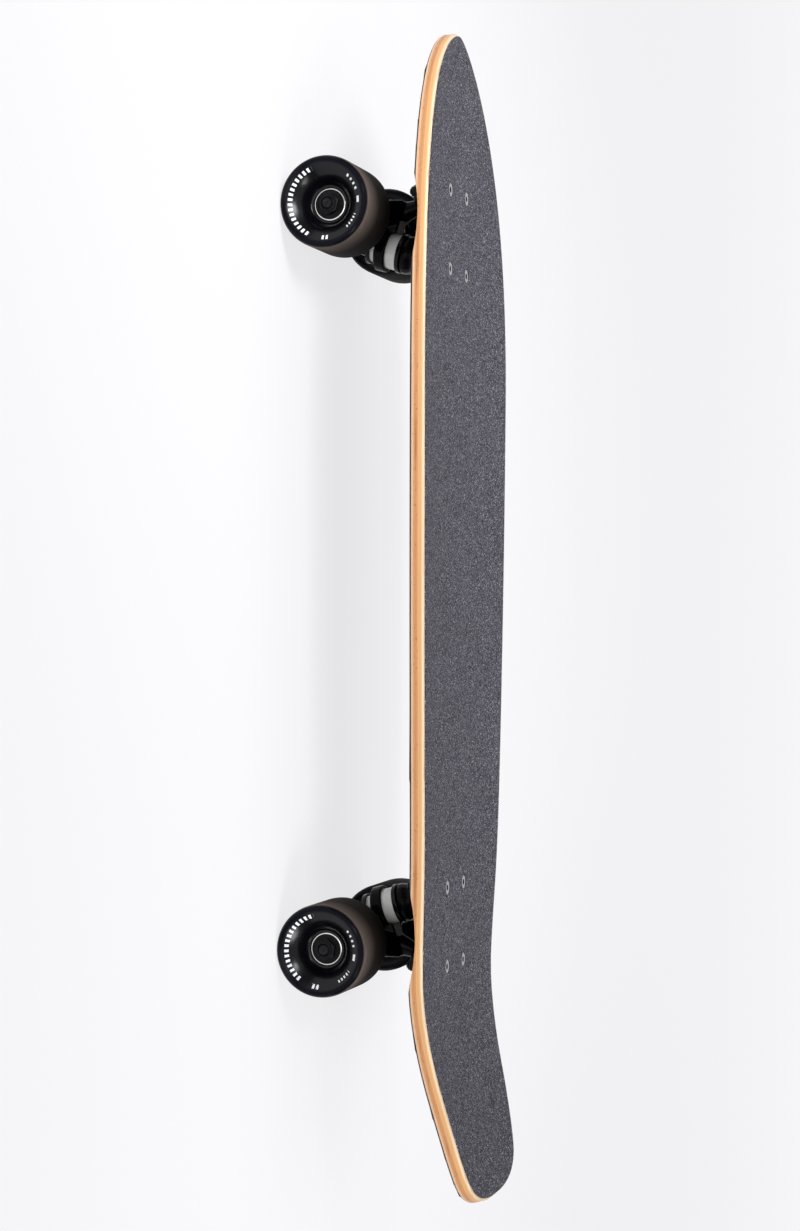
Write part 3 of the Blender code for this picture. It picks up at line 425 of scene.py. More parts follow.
# %% The flat outline
WHEELBASE = 0.4978
NOSE_X = WHEELBASE / 2 + 0.1273
TAIL_X = -WHEELBASE / 2 - 0.1835
TAIL_TIP_X = TAIL_X + 0.0028
WIDEST_X = 0.137
CORNER_X, CORNER_Y = TAIL_X + 0.0254, 0.0624
TAPER = math.radians(26.25)
KICK_X = -WHEELBASE / 2 - 0.0158
KICK_RADIUS = 0.338
KICK_ANGLE = math.radians(14.5)
HALF_DECK = 0.10559
FLAT_EDGE = 0.015
THICKNESS = 0.0104
DECK_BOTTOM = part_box("front_riser_pad")[1].z + 0.0003
FRAME_SHIFT = trucks["front"]["centre"].x - WHEELBASE / 2


def flat_outline(inset):
    """The whole outline of the flat sheet, from the nose tip round to it again."""
    widest, corner = Vector((WIDEST_X, HALF_DECK)), Vector((CORNER_X, CORNER_Y))
    taper = Vector((math.cos(TAPER), math.sin(TAPER)))
    nose, tail = Vector((NOSE_X, 0)), Vector((TAIL_TIP_X, 0))
    across, forward = Vector((0, 1)), Vector((1, 0))
    curves = [
        (nose, nose + across * 0.0165, widest + forward * 0.2055, widest, 60),
        (widest, widest - forward * 0.030, corner + taper * 0.0873, corner, 50),
        (corner, corner - taper * 0.0279, tail + across * 0.0080, tail, 30),
    ]
    half = []
    for start, leave, arrive, end, count in curves:
        half += [Vector(point[:2]) for point in interpolate_bezier(start, leave, arrive, end, count)[:-1]]
    half.append(tail)
    moved = []
    for i, point in enumerate(half):
        along = half[min(i + 1, len(half) - 1)] - half[max(i - 1, 0)]
        if i in (0, len(half) - 1):
            along = Vector((0, 1 if i == 0 else -1))
        moved.append(point + Vector((-along.y, along.x)).normalized() * inset)
    return moved + [Vector((point.x, -point.y)) for point in moved[-2:0:-1]]


print("outline points:", len(flat_outline(0)))

# %% [markdown]
# Pressing is a rule that moves any point of the flat sheet: up by the concave, which eases where the tail
# bends up, and round the kick by arc length, with the thickness kept square to the plies.

# %% The pressing rule
CONCAVE = 0.0073
EASED, EASED_BEHIND, EASED_SPREAD = 0.46, 0.024, 0.057


def pressed(x, y, height):
    """Where a point of the flat sheet lies in the finished deck."""
    ease = math.exp(-(((x + WHEELBASE / 2 + EASED_BEHIND) / EASED_SPREAD) ** 2))
    rise = max(abs(y) - FLAT_EDGE, 0) / (HALF_DECK - FLAT_EDGE)
    height += CONCAVE * (1 - EASED * ease) * rise**2
    past = KICK_X - x
    if past <= 0:
        return Vector((x + FRAME_SHIFT, y, DECK_BOTTOM + height))
    angle = min(past / KICK_RADIUS, KICK_ANGLE)
    straight = max(past - KICK_RADIUS * KICK_ANGLE, 0)
    along = KICK_RADIUS * math.sin(angle) + straight * math.cos(angle)
    up = KICK_RADIUS * (1 - math.cos(angle)) + straight * math.sin(angle)
    square = Vector((math.sin(angle), 0, math.cos(angle)))
    return Vector((KICK_X - along, y, DECK_BOTTOM + up)) + square * height + Vector((FRAME_SHIFT, 0, 0))


print("tail tip rises to", round(pressed(TAIL_TIP_X, 0, THICKNESS).z, 4))

# %% [markdown]
# Over the wheels the lower edge is sanded away by a wide drum, which leaves shallow hollows.

# %% Wheel wells
PATTERN_BACK = 0.0103
DRUM_RADIUS = 0.125
WELL_TOP = DECK_BOTTOM + 0.0087
WELL_CENTRE = HALF_DECK - 0.0137
WELL_HALF_LENGTH, WELL_INNER = 0.05, 0.04
WELL_SLOPE = math.tan(math.radians(11.5))


def sanded(place):
    """How far the sanding drum over a wheel lifts a point of the underside."""
    offset = abs(abs(place.x - FRAME_SHIFT) - (WHEELBASE / 2 - PATTERN_BACK))
    if offset > WELL_HALF_LENGTH or abs(place.y) < WELL_INNER:
        return 0.0
    crest = WELL_TOP + (abs(place.y) - WELL_CENTRE) * WELL_SLOPE
    level = crest - DRUM_RADIUS + math.sqrt(DRUM_RADIUS**2 - offset**2)
    return max(level - place.z, 0.0)


print("drum radius", DRUM_RADIUS)

# %% [markdown]
# The flat sheet is one face inside the outline. Planes cut it into a grid, so that it has points to bend, and
# extruding it gives it its thickness.

# %% A flat sheet
GRID = 0.0075
STRIPS = [GRID + GRID * i for i in range(13)]
SPACING = 0.0095


def sheet(outline, low, high, edge_radius):
    """A flat sheet cut into a grid, given its thickness and an eased rim."""
    shape = bmesh.new()
    shape.faces.new([shape.verts.new((point.x, point.y, low)) for point in outline])
    cuts = [((0, side * y, 0), (0, 1, 0)) for y in STRIPS for side in (-1, 1)]
    count = int((NOSE_X - TAIL_X) / SPACING)
    cuts += [((TAIL_X + SPACING * (i + 0.5), 0, 0), (1, 0, 0)) for i in range(count)]
    for where, normal in cuts:
        geometry = shape.verts[:] + shape.edges[:] + shape.faces[:]
        bmesh.ops.bisect_plane(shape, geom=geometry, dist=1e-6, plane_co=where, plane_no=normal)
    raised = bmesh.ops.extrude_face_region(shape, geom=shape.faces[:])["geom"]
    raised = [item for item in raised if isinstance(item, bmesh.types.BMVert)]
    bmesh.ops.translate(shape, vec=(0, 0, high - low), verts=raised)
    bmesh.ops.recalc_face_normals(shape, faces=shape.faces)
    if edge_radius:
        rim = [edge for edge in shape.edges if edge.calc_face_angle(0) > 1]
        rim = [edge for edge in rim if abs(edge.verts[0].co.z - edge.verts[1].co.z) < 1e-6]
        bmesh.ops.bevel(
            shape, geom=rim, offset=edge_radius, segments=5, profile=0.5, affect="EDGES", material=-1
        )
    return shape


print("grid:", len(STRIPS) * 2, "strips across")

# %% [markdown]
# The eight bolt holes are cut while the sheet is flat, with a Boolean and one cutter for all of them. The
# cutter is a spun stepped pin, wider at its top for the bolt's countersunk head.

# %% Bolt holes and the pressing
HALF_PATTERN = (0.02699, 0.02064)
BOLT_SPOTS = [(truck, end, side) for truck in trucks for end in (1, -1) for side in (1, -1)]
HOLE_RADIUS, HEAD_HOLE_RADIUS, HEAD_HEIGHT = 0.0027, 0.0049, 0.0026
GRIP_LOW = THICKNESS + 0.00015
GRIP_HIGH = GRIP_LOW + 0.0007
SUNK = 0.0003


def bolt_centre(truck, end, side):
    """A bolt's place in the board's frame, at floor level."""
    local = trucks[truck]["frame"] @ Vector((end * HALF_PATTERN[0] - PATTERN_BACK, side * HALF_PATTERN[1], 0))
    return Vector((local.x, local.y, 0))


def with_holes(shape):
    """Cuts the bolt holes into a flat sheet and returns its new bmesh."""
    cutters = bmesh.new()
    head_level = GRIP_HIGH - SUNK - 0.00015
    shank, head = [(0, -0.01), (HOLE_RADIUS, -0.01)], [(HEAD_HOLE_RADIUS, 0.03), (0, 0.03)]
    cone = [(HOLE_RADIUS, head_level - HEAD_HEIGHT), (HEAD_HOLE_RADIUS, head_level)]
    for spot in BOLT_SPOTS:
        pin = spun(shank + cone + head, 40, closed=False)
        bmesh.ops.translate(pin, vec=bolt_centre(*spot) - Vector((FRAME_SHIFT, 0, 0)), verts=pin.verts)
        held = bpy.data.meshes.new("pin")
        pin.to_mesh(held)
        pin.free()
        cutters.from_mesh(held)
        bpy.data.meshes.remove(held)
    return combined(shape, (cutters, "DIFFERENCE"))


def press(shape):
    """Stores each point's flat place and height in UV maps, then presses the sheet to shape."""
    moved = {}
    for point in shape.verts:
        flat = point.co.copy()
        place = pressed(*flat)
        lift = sanded(place)
        place.z += lift
        moved[point] = (flat, flat.z + lift)
        point.co = place
    store(shape, "flat", lambda point: moved[point][0].xy)
    store(shape, "ply", lambda point: (moved[point][1] / THICKNESS, 0))
    return shape


EDGE_RADIUS, GRIP_INSET = 0.0022, 0.0015
deck_shape = press(with_holes(sheet(flat_outline(0), 0, THICKNESS, EDGE_RADIUS)))
grip_shape = press(with_holes(sheet(flat_outline(GRIP_INSET), GRIP_LOW, GRIP_HIGH, 0.0)))
print("deck faces:", len(deck_shape.faces), "grip faces:", len(grip_shape.faces))

# %% [markdown]
# Maple ply, cut and rounded, is pale at the top sheet, then tan to orange where the plies run crosswise and
# show their pores. Glue lines are thin and darker. The lowest sheet is stained black. All of that follows the
# stored height.

# %% Ply bands
plywood, tree, shader = new_material("plywood")
height = stored(tree, "ply")[0]
waver = node(tree, "ShaderNodeTexNoise", {"Vector": object_place(tree), "Scale": 9.0, "Detail": 3.0})
level = sum_of(tree, "MULTIPLY_ADD", waver.outputs["Fac"], 0.05, sum_of(tree, "SUBTRACT", height, 0.025))
bands = node(tree, "ShaderNodeValToRGB", {"Fac": level})
stops = [
    (0.0, (0.020, 0.014, 0.012)),
    (0.115, (0.020, 0.014, 0.012)),
    # Painted highlight: the pale band just above the black sheet stands for the light on the rounded lower
    # edge.
    (0.13, (0.73, 0.49, 0.33)),
    (0.24, (0.70, 0.44, 0.265)),
    (0.28, (0.59, 0.29, 0.128)),
    (0.40, (0.54, 0.25, 0.105)),
    (0.415, (0.43, 0.175, 0.065)),
    (0.43, (0.57, 0.26, 0.108)),
    (0.55, (0.59, 0.275, 0.115)),
    (0.58, (0.69, 0.395, 0.175)),
    (0.68, (0.66, 0.365, 0.150)),
    (0.80, (0.70, 0.415, 0.195)),
    (0.87, (0.82, 0.62, 0.40)),
    (1.0, (0.84, 0.69, 0.49)),
]
ramp = bands.color_ramp
while len(ramp.elements) < len(stops):
    ramp.elements.new(1.0)
for element, (position, colour) in zip(ramp.elements, stops):
    element.position = position
    element.color = (*colour, 1)
print("plywood stops:", len(stops))

# %% [markdown]
# Four more noises go over the bands: grain stretched along the board, short dark pores in the crosswise plies,
# a slow stain along the middle ply, and a few small knots.

# %% Grain, pores, stains and knots


def noise_along(scale, detail, roughness=0.5):
    """A noise stretched differently along, across and through the board."""
    sockets = {"Vector": object_place(tree, scale), "Scale": 1.0, "Detail": detail, "Roughness": roughness}
    return node(tree, "ShaderNodeTexNoise", sockets).outputs["Fac"]


def plies(bottom, lowest, highest, top):
    """1 from the lowest to the highest level, fading to 0 at the bottom and the top."""
    return product(tree, between(tree, level, bottom, lowest), between(tree, level, top, highest))


grain = noise_along((14, 60, 900), 6.0, 0.62)
pores = between(tree, noise_along((420, 300, 700), 2.0), 0.60, 0.72)
pores = product(tree, pores, plies(0.23, 0.3, 0.52, 0.60))
stain = between(tree, noise_along((16, 16, 260), 3.0), 0.50, 0.64)
stain = product(tree, plies(0.31, 0.40, 0.46, 0.53), stain)
flat_uv = node(tree, "ShaderNodeUVMap", uv_map="flat").outputs[0]
spots = node(tree, "ShaderNodeTexVoronoi", {"Vector": flat_uv, "Scale": 7.5, "Randomness": 1.0})
knots = product(tree, between(tree, spots.outputs["Distance"], 0.045, 0.02), between(tree, level, 0.13, 0.15))
tone = mixed(tree, between(tree, grain, 0.35, 0.75), bands.outputs["Color"], (0.50, 0.27, 0.11, 1))
wooden = mixed(tree, 0.26, bands.outputs["Color"], tone)
for mask, share, colour in (
    (pores, 0.55, (0.24, 0.085, 0.022, 1)),
    (stain, 0.75, (0.33, 0.125, 0.04, 1)),
    (knots, 0.55, (0.10, 0.035, 0.015, 1)),
):
    wooden = mixed(tree, product(tree, mask, share), wooden, colour)
print("grain, pores, stain and knots laid over the bands")

# %% Plywood finish
painted = between(tree, level, 0.125, 0.112)
tree.links.new(mixed(tree, painted, wooden, (0.016, 0.015, 0.017, 1)), shader.inputs["Base Color"])
tree.links.new(sum_of(tree, "MULTIPLY_ADD", grain, 0.18, 0.36), shader.inputs["Roughness"])
rough = node(tree, "ShaderNodeBump", {"Strength": 0.25, "Distance": 0.0004, "Height": grain})
tree.links.new(rough.outputs[0], shader.inputs["Normal"])
shader.inputs["Coat Weight"].default_value = 0.06
shader.inputs["Specular IOR Level"].default_value = 0.3
print("plywood ready")

# %% [markdown]
# Grip tape is black paper with silicon carbide grains, each about half a millimetre. From a distance it is a
# violet slate with a fine sparkle. Cell noise gives every grain its own tone and its own height, a second
# and coarser one gathers them into faint clumps, and a few grains in a hundred get a pale colour as a painted
# glint.

# %% Grip material
GRAINS_PER_METRE = 1500.0
grip, tree, shader = new_material("grip_grit")
sockets = {"Vector": object_place(tree), "Scale": GRAINS_PER_METRE, "Randomness": 1.0}
grains = node(tree, "ShaderNodeTexVoronoi", sockets)
tint = node(tree, "ShaderNodeSeparateColor", {0: grains.outputs["Color"]}).outputs
soft, fine = mottled(tree, 170.0)
grey = mixed(tree, sum_of(tree, "POWER", tint[0], 2.4), (0.008, 0.008, 0.010, 1), (0.185, 0.179, 0.222, 1))
grey = mixed(tree, product(tree, between(tree, soft, 0.42, 0.66), 0.30), grey, (0.112, 0.109, 0.133, 1))
# Painted highlight: a few grains get a pale base colour as their glint.
painted_glint = product(tree, between(tree, tint[1], 0.84, 0.90), between(tree, fine, 0.50, 0.56))
grey = mixed(tree, product(tree, painted_glint, 0.85), grey, (0.66, 0.65, 0.71, 1))
tree.links.new(grey, shader.inputs["Base Color"])
tree.links.new(sum_of(tree, "MULTIPLY_ADD", tint[2], -0.30, 0.95), shader.inputs["Roughness"])
sockets = {"Strength": 0.55, "Distance": 0.0003, "Height": grains.outputs["Distance"]}
stones = node(tree, "ShaderNodeBump", sockets)
tree.links.new(stones.outputs[0], shader.inputs["Normal"])
shader.inputs["Specular IOR Level"].default_value = 0.35
print("grain size, mm:", round(1000 / GRAINS_PER_METRE, 2))

# %% Deck and grip pieces
deck_piece = piece("plywood_deck", deck_shape, "board", [plywood], stands_for=["deck"])
piece("grip_sheet", grip_shape, "board", [grip], stands_for=["grip_tape"])
print("deck box", [round(value, 4) for value in deck_piece.dimensions])

# %% [markdown]
# ## Steel
# Five steels are made alike: bright for the spacers, polished for the bearings' races, blackened for the nuts
# and kingpins, a more worn black for the axles, and one for the pressed washers. The shared mottle gives each
# its fine turning marks and its handling wear.

# %% Steel materials


def steel(name, colour, roughness, metallic, wear, shine=0.5):
    """A steel with turning marks and a little mottled wear."""
    made, tree, shader = new_material(name)
    soft, fine = mottled(tree, 260.0)
    worn = tuple(min(value + wear, 1.0) for value in colour)
    share = between(tree, soft, 0.42, 0.72)
    tree.links.new(mixed(tree, share, (*colour, 1), (*worn, 1)), shader.inputs["Base Color"])
    grainy = sum_of(tree, "MULTIPLY_ADD", fine, 0.22, roughness - 0.11)
    tree.links.new(grainy, shader.inputs["Roughness"])
    marks = node(tree, "ShaderNodeBump", {"Strength": 0.12, "Distance": 0.0001, "Height": fine})
    tree.links.new(marks.outputs[0], shader.inputs["Normal"])
    shader.inputs["Metallic"].default_value = metallic
    shader.inputs["Specular IOR Level"].default_value = shine
    return made


bright_steel = steel("bright_steel", (0.30, 0.30, 0.31), 0.34, 1.0, 0.10)
race_steel = steel("race_steel", (0.80, 0.79, 0.76), 0.22, 1.0, 0.08)
dark_steel = steel("dark_steel", (0.007, 0.007, 0.008), 0.34, 0.2, 0.007, 0.12)
axle_steel = steel("axle_steel", (0.014, 0.014, 0.016), 0.36, 0.6, 0.012, 0.12)
washer_steel = steel("washer_steel", (0.012, 0.012, 0.013), 0.26, 0.8, 0.014, 0.2)
print("steels:", len([made for made in bpy.data.materials if made.name.endswith("steel")]))

# %% [markdown]
# ## Hexagon nuts
# A nut is a hexagon bar turned down at its corners, which leaves round chamfers. The corners are cut by
# intersecting the hexagon with a spun double cone, as the lathe does, and a lock nut adds its round collar.

# %% Nut helpers


def hexagon_bar(flats, low, high):
    """A hexagon bar about z between two heights, given its size across the flats."""
    shape = bmesh.new()
    ring = bmesh.ops.create_circle(shape, cap_ends=True, segments=6, radius=flats / math.sqrt(3))
    bmesh.ops.translate(shape, vec=(0, 0, low), verts=ring["verts"])
    raised = bmesh.ops.extrude_face_region(shape, geom=shape.faces[:])["geom"]
    raised = [item for item in raised if isinstance(item, bmesh.types.BMVert)]
    bmesh.ops.translate(shape, vec=(0, 0, high - low), verts=raised)
    bmesh.ops.recalc_face_normals(shape, faces=shape.faces)
    return shape


def lock_nut(flats, height, bore, collar):
    """A nut from z = 0 up to height. The collar is its thin round end."""
    corner = flats / math.sqrt(3)
    body = height - collar
    slope = (corner - flats * 0.47) * 0.55
    cone = [(0, 0), (flats * 0.47, 0), (corner, slope), (corner, body - slope)]
    cone += [(flats * 0.47, body), (0, body)]
    dome = [(0, body * 0.5), (flats * 0.44, body * 0.5), (flats * 0.44, height - collar * 0.5)]
    dome += [(flats * 0.41, height - collar * 0.1), (flats * 0.37, height), (0, height)]
    hole = [(0, -0.001), (bore + 0.0004, -0.001), (bore + 0.0004, 0), (bore, 0.0004), (bore, height - 0.0004)]
    hole += [(bore + 0.0004, height), (bore + 0.0004, height + 0.001), (0, height + 0.001)]
    steps = ((cone, "INTERSECT"), (dome, "UNION"), (hole, "DIFFERENCE"))
    tools = [(spun(profile, 48, closed=False), operation) for profile, operation in steps]
    return combined(hexagon_bar(flats, 0, body), *tools)


print("nut helpers ready")

# %% Nuts in place
NUTS = {  # across the flats, height, bore, collar
    "bolt": (0.008, 0.0063, 0.0026, 0.0016),
    "kingpin": (0.0143, 0.0076, 0.0051, 0.0016),
    "axle": (0.0127, 0.006, 0.0041, 0.0014),
}
OVER = Matrix.Rotation(math.pi, 4, "X")
for truck, spot in trucks.items():
    for number in range(1, 5):
        low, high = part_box(f"{truck}_lock_nut_{number}")
        where = Matrix.Translation(((low.x + high.x) / 2, (low.y + high.y) / 2, high.z))
        down = where @ OVER @ Matrix.Rotation(0.6 * number, 4, "Z")
        piece(f"{truck}_locking_nut_{number}", lock_nut(*NUTS["bolt"]), "board", [dark_steel],
              down, [f"{truck}_lock_nut_{number}"])
    down = spot["frame"] @ KINGPIN_FRAME @ Matrix.Translation((0, 0, -0.0116)) @ OVER
    piece(f"{truck}_kingpin_lock_nut", lock_nut(*NUTS["kingpin"]), "board", [dark_steel], down,
          [f"{truck}_kingpin_nut"])
    for label, side in SIDES.items():
        low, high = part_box(f"{truck}_{label}_axle_nut")
        start = min(abs(low.y), abs(high.y))
        place = axle_frame(truck, side) @ Matrix.Translation((0, 0, start)) @ Matrix.Rotation(0.35, 4, "Z")
        piece(f"{truck}_{label}_wheel_nut", lock_nut(*NUTS["axle"]), f"{truck}_hanger",
              [dark_steel], place, [f"{truck}_{label}_axle_nut"])
print("nuts:", len(trucks) * (4 + 1 + len(SIDES)))

# %% [markdown]
# ## Mounting bolts
# Each bolt has a flat countersunk head with a hexagon socket, which the photograph shows as a grey ring with a
# dark middle. The threads below the nuts are real ridges, spun as rings: at this size nobody can see that a
# ring isn't a helix. The black finish is rubbed off the top of the head, so each bolt stores how deep every
# point lies under it.

# %% Bolt material
bolt_steel, tree, shader = new_material("bolt_steel")
below = stored(tree, "below")[0]
soft, fine = mottled(tree, 260.0)
rubbed = between(tree, below, 0.0003, 0.00015)
bare = mixed(tree, soft, (0.40, 0.40, 0.40, 1), (0.58, 0.58, 0.57, 1))
tree.links.new(mixed(tree, rubbed, (0.012, 0.012, 0.012, 1), bare), shader.inputs["Base Color"])
tree.links.new(product(tree, rubbed, 0.3), shader.inputs["Metallic"])
tree.links.new(sum_of(tree, "MULTIPLY_ADD", fine, 0.2, 0.38), shader.inputs["Roughness"])
print("bolt material ready")

# %% Bolts
BOLT_RADIUS, BOLT_SOCKET = 0.0024, 0.0042


def threaded(radius, low, high, pitch, depth):
    """Profile points of a rod with thread ridges, from low to high."""
    points = []
    count = int((high - low) / pitch)
    for i in range(count):
        base = low + i * pitch
        points += [(radius - depth, base), (radius, base + pitch * 0.45), (radius, base + pitch * 0.6)]
    return points + [(radius - depth, low + count * pitch)]


def socket_bolt(length):
    """A countersunk bolt that hangs down from z = 0, the top of its head."""
    end = -length
    profile = [(0, end), (0.0019, end)] + threaded(BOLT_RADIUS, end + 0.0004, end + 0.0104, 0.0008, 0.00035)
    profile += [(BOLT_RADIUS, end + 0.0108), (BOLT_RADIUS, -HEAD_HEIGHT), (0.00445, -0.0004)]
    profile += [(0.0046, -0.00025), (0.0045, -0.00005), (0.0044, 0), (0, 0)]
    socket = hexagon_bar(BOLT_SOCKET, -0.0023, 0.001)
    shape = combined(spun(profile, 40, closed=False), (socket, "DIFFERENCE"))
    store(shape, "below", lambda point: (-point.co.z, 0))
    return shape


for truck in trucks:
    for number in range(1, 5):
        low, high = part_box(f"{truck}_bolt_{number}")
        middle = (low + high) / 2
        place = Matrix.Translation((middle.x, middle.y, high.z)) @ Matrix.Rotation(0.4 * number, 4, "Z")
        piece(f"{truck}_socket_bolt_{number}", socket_bolt(high.z - low.z), "board",
              [bolt_steel], place, [f"{truck}_bolt_{number}"])
print("bolts:", len(BOLT_SPOTS))

# %% [markdown]
# ## Wheels
# A wheel is polyurethane, poured round a hub. Its sides come glossy out of the mould, dished towards the
# bearing, and its tread is ground matt and goes brown with dust on the half that faces out. Its inner half is
# painted near black, as painted shade from the deck. Each wheel stores where its points lie across its face
# and through its width, so its marks follow it as it turns.

# %% Wheel material: place, dust and painted shade
urethane, tree, shader = new_material("black_urethane")
across, upward = stored(tree, "face")
square = sum_of(tree, "MULTIPLY_ADD", upward, upward, product(tree, across, across))
radius = sum_of(tree, "SQRT", square)
turn = sum_of(tree, "ARCTAN2", upward, across)
depth = stored(tree, "depth")[0]
tread = between(tree, radius, 0.0302, 0.0308)
soft, fine = mottled(tree, 60.0)
place = node(tree, "ShaderNodeCombineXYZ", {0: product(tree, turn, 3.0), 1: product(tree, depth, 900.0)})
sockets = {"Vector": place.outputs[0], "Scale": 1.0, "Detail": 4.0}
streaks = node(tree, "ShaderNodeTexNoise", sockets).outputs["Fac"]
dust_and_shade = mixed(tree, between(tree, streaks, 0.3, 0.75), (0.085, 0.066, 0.056, 1), (0.180, 0.144, 0.124, 1))
dust_and_shade = mixed(tree, between(tree, soft, 0.4, 0.7), dust_and_shade, (0.125, 0.102, 0.089, 1))
# Painted shade: the tread's inner half, which the deck shades, blends to a near-black tone, and the brown dust
# stays on the outer half.
painted_shade_tread = mixed(tree, streaks, (0.006, 0.005, 0.005, 1), (0.022, 0.018, 0.016, 1))
dust_and_shade = mixed(tree, between(tree, depth, 0.028, 0.052), painted_shade_tread, dust_and_shade)
print("dust on the tread's outer half")

# %% [markdown]
# The printed ring on the outer side is kept plain: one long arc of bold dashes, two short arcs of fine ones
# with a mark between, and a pair of ticks.

# %% Printed ring


def band(low, high):
    """1 between two radii."""
    edge = 0.00012
    inside = between(tree, radius, low, low + edge)
    return product(tree, inside, between(tree, radius, high, high - edge))


def arc(middle, half):
    """1 within half an arc's angle of its middle."""
    away = sum_of(tree, "COSINE", sum_of(tree, "SUBTRACT", turn, middle))
    return between(tree, away, math.cos(half), math.cos(half * 0.99))


def dashes(count, gap, middle, half):
    """1 on evenly spaced dashes, inside an arc about a middle angle."""
    wave = sum_of(tree, "FRACT", product(tree, turn, count / math.tau))
    dash = product(tree, between(tree, wave, gap, gap + 0.03), between(tree, wave, 1.0, 0.97))
    return product(tree, dash, arc(middle, half))


marks = [
    product(tree, band(0.0224, 0.0252), dashes(44, 0.46, math.pi, 1.15)),
    product(tree, band(0.0224, 0.0243), dashes(43, 0.56, 0.66, 0.30)),
    product(tree, band(0.0224, 0.0243), dashes(60, 0.52, -0.56, 0.22)),
    product(tree, band(0.0226, 0.0246), arc(0.08, 0.09)),
    product(tree, band(0.0224, 0.0254), dashes(54, 0.40, -1.50, 0.13)),
]
printed = marks[0]
for other in marks[1:]:
    printed = sum_of(tree, "MAXIMUM", printed, other)
printed = product(tree, printed, between(tree, depth, 0.0300, 0.0302))
print("printed marks:", len(marks))

# %% Wheel finish
tones = (0.0018, 0.0018, 0.0030, 1), (0.0040, 0.0042, 0.0070, 1)
moulded = mixed(tree, between(tree, radius, 0.0215, 0.0275), *tones)
body = mixed(tree, tread, moulded, dust_and_shade)
tree.links.new(mixed(tree, printed, body, (0.80, 0.82, 0.86, 1)), shader.inputs["Base Color"])
gloss = sum_of(tree, "MULTIPLY_ADD", fine, 0.08, 0.10)
matt = sum_of(tree, "MULTIPLY_ADD", streaks, 0.2, 0.64)
blend = node(tree, "ShaderNodeMix", {0: tread, 2: gloss, 3: matt}).outputs[0]
tree.links.new(blend, shader.inputs["Roughness"])
sockets = {"Strength": 0.35, "Distance": 0.0002, "Height": product(tree, streaks, tread)}
ground = node(tree, "ShaderNodeBump", sockets)
tree.links.new(ground.outputs[0], shader.inputs["Normal"])
shader.inputs["Specular IOR Level"].default_value = 0.06
polished = between(tree, radius, 0.0272, 0.0255)
tree.links.new(product(tree, polished, 0.45), shader.inputs["Coat Weight"])
shader.inputs["Coat Roughness"].default_value = 0.24
print("wheel material ready")

# %% Wheel shape
WHEEL_WIDTH = 0.055
TURNED_BY = {"front": -1.62, "rear": -1.79}
DISH = [(0.0123, 0.0148), (0.0129, 0.0145), (0.0140, 0.0131), (0.0152, 0.0110), (0.0166, 0.0086),
        (0.0182, 0.0066), (0.0200, 0.0049), (0.0220, 0.0034), (0.0242, 0.0020), (0.0262, 0.0010),
        (0.0278, 0.0003)]


def wheel_shape(inner_face):
    """A wheel about z, its inner face at z = inner_face."""
    side = [(0.0097, 0.0225), (0.0112, 0.0225), (0.0112, 0.0148)] + DISH
    side += [(0.0288, 0.0001), (0.0297, 0.0008), (0.0304, 0.0019), (0.0309, 0.0035), (0.0310, 0.0052)]
    low = [(radius, inner_face + depth) for radius, depth in side]
    high = [(radius, inner_face + WHEEL_WIDTH - depth) for radius, depth in reversed(side)]
    shape = spun(low + high, 144)
    store(shape, "face", lambda point: point.co.xy)
    store(shape, "depth", lambda point: (point.co.z - inner_face, 0))
    return shape


for truck in trucks:
    for label, side in SIDES.items():
        low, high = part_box(f"{truck}_{label}_wheel")
        inner_face = min(abs(low.y), abs(high.y))
        place = axle_frame(truck, side) @ Matrix.Rotation(TURNED_BY[truck], 4, "Z")
        piece(f"{truck}_{label}_tyre", wheel_shape(inner_face), f"{truck}_{label}_wheel",
              [urethane], place, [f"{truck}_{label}_wheel"])
print("wheels:", len(trucks) * len(SIDES), "width", WHEEL_WIDTH)

# %% [markdown]
# ## Bearings
# A bearing shows three rings: the bright outer race, a dark shield set a little back, and the inner race. They
# are one spun section here, because they turn together with the wheel. The outer race takes the bright
# steel, and the shield and the inner race's face take the shield's dark material.

# %% Bearings
BEARING_WIDTH = 0.007
SHIELD_BACK, SHIELD_RADIUS = 0.00045, 0.0099
tones = (0.005, 0.005, 0.006), (0.010, 0.010, 0.011)
shield_rubber, _, shader, _ = two_toned("bearing_shield", 300.0, *tones, 0.2, 0.35)
shader.inputs["Specular IOR Level"].default_value = 0.12


def bearing_shape(low):
    """A bearing about z from z = low. The shields are set back on both sides."""
    high = low + BEARING_WIDTH
    one_side = [(0.00415, 0.00025), (0.0044, 0), (0.0056, 0), (0.00575, 0.00012), (0.0058, SHIELD_BACK)]
    one_side += [(0.0097, SHIELD_BACK), (SHIELD_RADIUS, 0.0002), (0.0101, 0), (0.0106, 0), (0.0109, 0.0002),
                 (0.011, 0.0005)]
    profile = [(radius, low + depth) for radius, depth in one_side]
    profile += [(radius, high - depth) for radius, depth in reversed(one_side)]
    shape = spun(profile, 64)
    for face in shape.faces:
        middle = face.calc_center_median()
        reach = math.hypot(middle.x, middle.y)
        if reach < SHIELD_RADIUS and min(middle.z - low, high - middle.z) < 0.0006:
            face.material_index = 1
    return shape


for truck in trucks:
    for label, side in SIDES.items():
        for which in ("inner", "outer"):
            low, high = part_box(f"{truck}_{label}_{which}_bearing")
            start = min(abs(low.y), abs(high.y))
            name, stands_for = f"{truck}_{label}_{which}_race", f"{truck}_{label}_{which}_bearing"
            piece(name, bearing_shape(start), f"{truck}_{label}_wheel",
                  [race_steel, shield_rubber], axle_frame(truck, side), [stands_for])
print("bearings:", len(trucks) * len(SIDES) * 2)

# %% [markdown]
# ## Axles
# The axle's ends are threaded for the nuts and chamfered, with the small centre hole that the lathe leaves.

